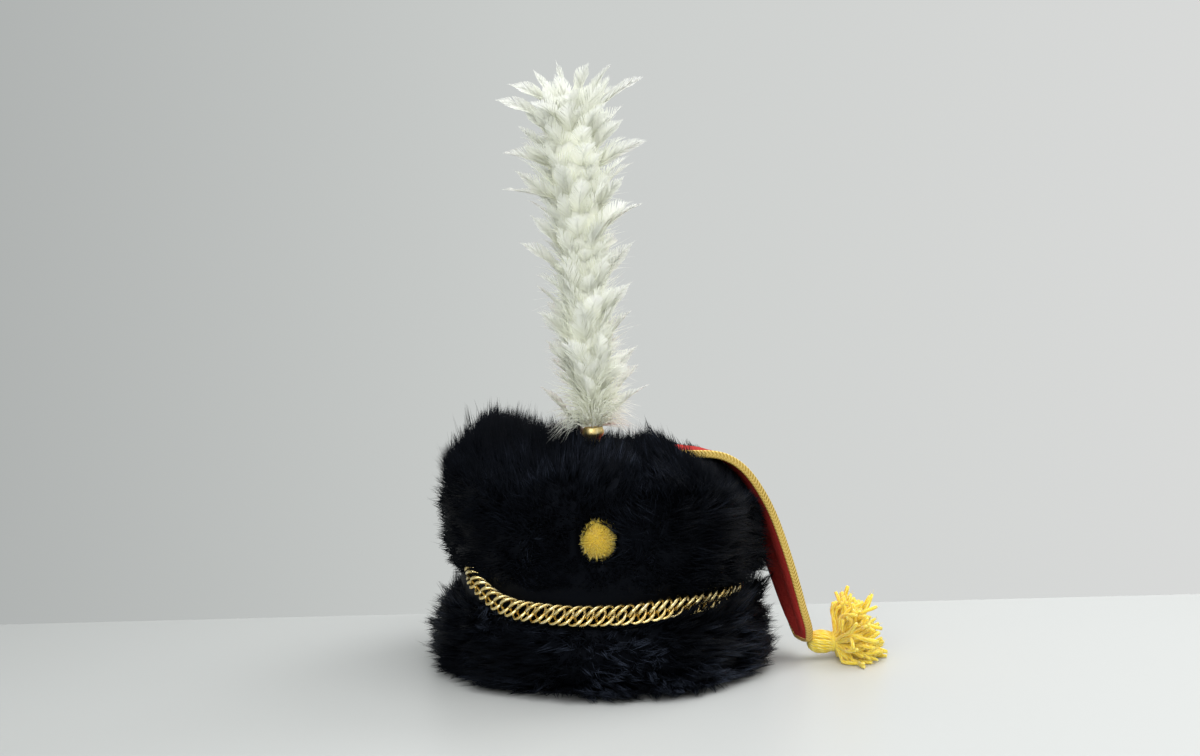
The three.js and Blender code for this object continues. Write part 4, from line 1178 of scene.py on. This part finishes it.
def skirt_paths(rng):
    """The middle lines of the skirt's yarns and their radii, with the ways that they take. They leave the
    neck in all directions, flattened below, belly out at once, bow and sway aside, and rest on the floor."""
    count = SKIRT["count"]
    lean = SKIRT["widest"] * np.sqrt((np.arange(count) + 0.5) / count)
    roll = GOLDEN_TURN * np.arange(count)
    level, up = SKIRT["flat"] * np.sin(lean) * np.cos(roll), np.sin(lean) * np.sin(roll)
    aim = unit(np.stack([np.cos(lean), level, np.where(up < 0, SKIRT["flat"] * up, up)], -1))
    shorter = 1 - SKIRT["shorter_above"] * np.maximum(aim[:, 2], 0)
    length = (rng.uniform(*SKIRT["length"], count) * shorter)[:, None, None]
    run = np.linspace(0, 1, SKIRT["stations"])[:, None]
    neck = TASSEL_TOP + np.array([SKIRT["from"], 0, 0])
    ring = unit(np.stack([0 * lean, np.cos(roll), np.sin(roll)], -1))[:, None]
    start = ring * SKIRT["root"] + ring * SKIRT["belly"] * run * (1 - run)
    ahead = np.array([1.0, 0, 0]) * SKIRT["ahead"] * run * (1 - run) ** 2
    bow_way = np.cross(aim, unit(rng.normal(0, 1, (count, 3))))[:, None]
    sway_way = np.cross(aim, unit(rng.normal(0, 1, (count, 3))))[:, None]
    bow = bow_way * np.sin(math.pi * run) * SKIRT["bow"]
    sway = sway_way * np.sin(TURN * SKIRT["sways"] * run) * run * SKIRT["sway"]
    kink = rng.normal(0, SKIRT["kink"], (count, 1, 3)) * run ** 3 + sway
    path = neck + start + length * (aim[:, None] * run + ahead) + bow + kink
    path[..., 2] += SKIRT["lift"] * run[:, 0]
    thick = rng.uniform(*SKIRT["radius"], count)
    path[..., 2] = np.maximum(path[..., 2], thick[:, None] * SKIRT["rest"])
    return path, thick, aim


def skirt_fuzz(rng, path, aim):
    """Loose fibres on the outer parts of the skirt's yarns, standing off them and leaning their way."""
    spot = rng.integers(FUZZ["from"], SKIRT["stations"], (len(path), FUZZ["per_yarn"]))
    foot = np.take_along_axis(path, spot[..., None], 1).reshape(-1, 3)
    way = unit(rng.normal(0, 1, foot.shape) + FUZZ["lean"] * np.repeat(aim, FUZZ["per_yarn"], 0))
    stick = way * rng.uniform(*FUZZ["length"], (len(foot), 1))
    fibre = foot[:, None] + stick[:, None] * FUZZ["along"][:, None]
    fibre[..., 1] += rng.normal(0, FUZZ["stray"], fibre.shape[:2])
    fibre[..., 2] = np.maximum(fibre[..., 2], FUZZ["foot"])
    return strands(fibre, np.broadcast_to(FUZZ["radius"], (len(fibre), 3)))


def tassel():
    """The tassel: yarns laid lengthwise over a round head, a tie wound round its neck, and a skirt of cut
    yarns with loose fibres."""
    rng = np.random.default_rng(61)
    laid = HEAD_YARN["count"]
    run = np.linspace(0, 1, 16)
    head = read(TASSEL_HEAD, run)
    slanting = circle(laid)[:, None] + HEAD_YARN["slant"] * run
    angle = slanting + rng.normal(0, HEAD_YARN["stray"], (laid, 1))
    over = round_tassel(head["along"], head["radius"], angle)
    head_yarns, head_tone = yarns(over, np.full(laid, HEAD_YARN["radius"]), HEAD_YARN["twist"])
    core_r = np.concatenate([[HEAD_CORE["end"]], head["radius"] * HEAD_CORE["share"], [HEAD_CORE["end"]]])
    core_z = np.concatenate([head["along"][:1], head["along"], head["along"][-1:]])
    core, faces = turned(core_r, core_z, steps=20)
    core = (TASSEL_TOP + core[:, [2, 0, 1]], faces)
    wound = round_tassel(np.array(TIE["along"])[:, None], TIE["radius"], circle(40))
    tie = tube_loops(wound, np.array([1.0, 0, 0]), TIE["yarn"], sides=8)
    path, thick, aim = skirt_paths(rng)
    skirt, skirt_tone = yarns(path, thick, SKIRT["twist"], sides=7)
    fuzz = skirt_fuzz(rng, path, aim)
    # The core under the laid yarns is painted dark, as painted shade between them.
    tone = np.concatenate([head_tone, np.full(len(core[0]), 0.1), np.full(len(tie[0]), 0.6), skirt_tone,
                           np.full(len(fuzz[0]), 0.8)])
    return join(head_yarns, core, tie, skirt, fuzz), tone


# The hat.

piece("cap_felt", cap_shell(), felt_material(), "cap_shell")
make_fur(fur_material())
bright_gilt = gilt_material("bright_gilt_brass", brightest=0.16, dullest=0.34)
piece("chin_chain_rings", chin_chain(), bright_gilt, "chin_chain")
shape, tone = boss()
pompom_wool = wool_material("yellow_pompom_wool", "#cda62b", "#e8c341", "#f1da63", fibre=1.2)
piece("boss_wool", shape, pompom_wool, "boss", tone=tone)
dull_gilt = gilt_material("dull_gilt_brass", brightest=0.42, dullest=0.6)
piece("plume_ferrule", plume_socket(), dull_gilt, "plume_socket")
shape, tone = plume()
piece("plume_feathers", shape, feather_material(), "plume", smooth_faces=False, tone=tone)
shape, uv, flat_size, flat_area = bag()
cloth = piece("bag_cloth", shape, cloth_material(), "bag", uv=uv)
shape, tone = bag_braid()
lace = piece("bag_gold_lace", shape, lace_material(), "bag_braid", tone=tone)
shape, tone = tassel()
tassel_wool = wool_material("yellow_tassel_wool", "#ebc430", "#fbde50", "#fff09a", fibre=1.0)
wool = piece("tassel_yarn", shape, tassel_wool, "tassel", tone=tone)

# The stage: a pale floor with its far edge at the wall's foot, soft light from above, and a grey surround.

FLOOR_FAR = [(-2.6, -0.146), (2.6, 0.498)]  # the floor's far edge, which slants away to +X
FLOOR_NEAR = -3.0
# Painted light: the floor is painted darker to -X and lighter to +X, for the light falling off.
FLOOR_PAINTED_FALLOFF = [(0.0, "#b3b5b4"), (1.0, "#cacccb"), (0.5, "#c7c9c8")]  # over a range of X
FLOOR_FALLOFF_SPAN = {"From Min": -0.5, "From Max": 0.45}
# The surround's paling to +X paints the wall's uneven light.
SURROUND_TONES = [(0.0, "#aaadac"), (1.0, "#dbdcdb"), (0.45, "#cacdcb")]  # over a range of directions
SURROUND_PALES = {"From Min": -0.4, "From Max": 0.4}
CAMERA_PLACE = (-0.002, -1.24, 0.296)
CAMERA_PITCH = math.radians(4.0)  # downwards
FOCAL_SHARE = 1686 / 1200  # focal length as a share of the picture's width


def studio_floor():
    """A flat pale floor from the near side to its slanting far edge, in smooth laminate, painted darker to
    -X and lighter to +X: painted light falloff.
    """
    mesh = bpy.data.meshes.new("studio_floor")
    (left, left_y), (right, right_y) = FLOOR_FAR
    corners = [(left, FLOOR_NEAR, 0), (right, FLOOR_NEAR, 0), (right, right_y, 0), (left, left_y, 0)]
    mesh.from_pydata(corners, [], [(0, 1, 2, 3)])
    material, tree, place = new_material("pale_laminate")
    across = put(tree, "SeparateXYZ", {"Vector": place}, "X")
    share = put(tree, "MapRange", {"Value": across, **FLOOR_FALLOFF_SPAN})
    colour = put(tree, "ValToRGB", {"Fac": share}, stops=FLOOR_PAINTED_FALLOFF)
    mesh.materials.append(finished(material, Base_Color=colour, Roughness=0.4, Specular_IOR_Level=0.35))
    floor = bpy.data.objects.new("studio_floor", mesh)
    bpy.context.scene.collection.objects.link(floor)


def soft_light(name, place, aim, size, power):
    """A square soft light at a place, facing an aim."""
    light = bpy.data.lights.new(name, "AREA")
    light.size = size
    light.energy = power
    lamp = bpy.data.objects.new(name, light)
    lamp.location = place
    lamp.rotation_euler = (Vector(aim) - Vector(place)).to_track_quat("-Z", "Y").to_euler()
    bpy.context.scene.collection.objects.link(lamp)


def surround():
    """A grey surround, seen as the wall and filling the shadows, that pales evenly from -X to +X. Its
    paling is the wall's uneven light, painted into the surround.
    """
    world = bpy.data.worlds.new("surround")
    world.use_nodes = True
    tree = world.node_tree
    across = put(tree, "SeparateXYZ", {"Vector": put(tree, "TexCoord", out="Generated")}, "X")
    share = put(tree, "MapRange", {"Value": across, **SURROUND_PALES})
    colour = put(tree, "ValToRGB", {"Fac": share}, stops=SURROUND_TONES)
    fill(tree, tree.nodes["Background"], {"Color": colour})
    bpy.context.scene.world = world


def front_camera():
    """A camera in front of the hat, pitched a little down."""
    data = bpy.data.cameras.new("camera")
    data.sensor_width = 36.0
    data.lens = data.sensor_width * FOCAL_SHARE
    camera = bpy.data.objects.new("camera", data)
    camera.location = CAMERA_PLACE
    camera.rotation_euler = (math.pi / 2 - CAMERA_PITCH, 0, 0)
    bpy.context.scene.collection.objects.link(camera)
    bpy.context.scene.camera = camera


studio_floor()
soft_light("overhead", place=(0.35, -0.3, 1.6), aim=(0.05, 0, 0.1), size=1.4, power=15)
soft_light("front_fill", place=(-0.6, -1.6, 1.0), aim=(0.05, 0, 0.18), size=1.0, power=15)
soft_light("right_back", place=(0.9, 0.6, 1.2), aim=(0, 0, 0.15), size=0.7, power=7)
surround()
front_camera()
bpy.context.scene.view_settings.view_transform = "Standard"
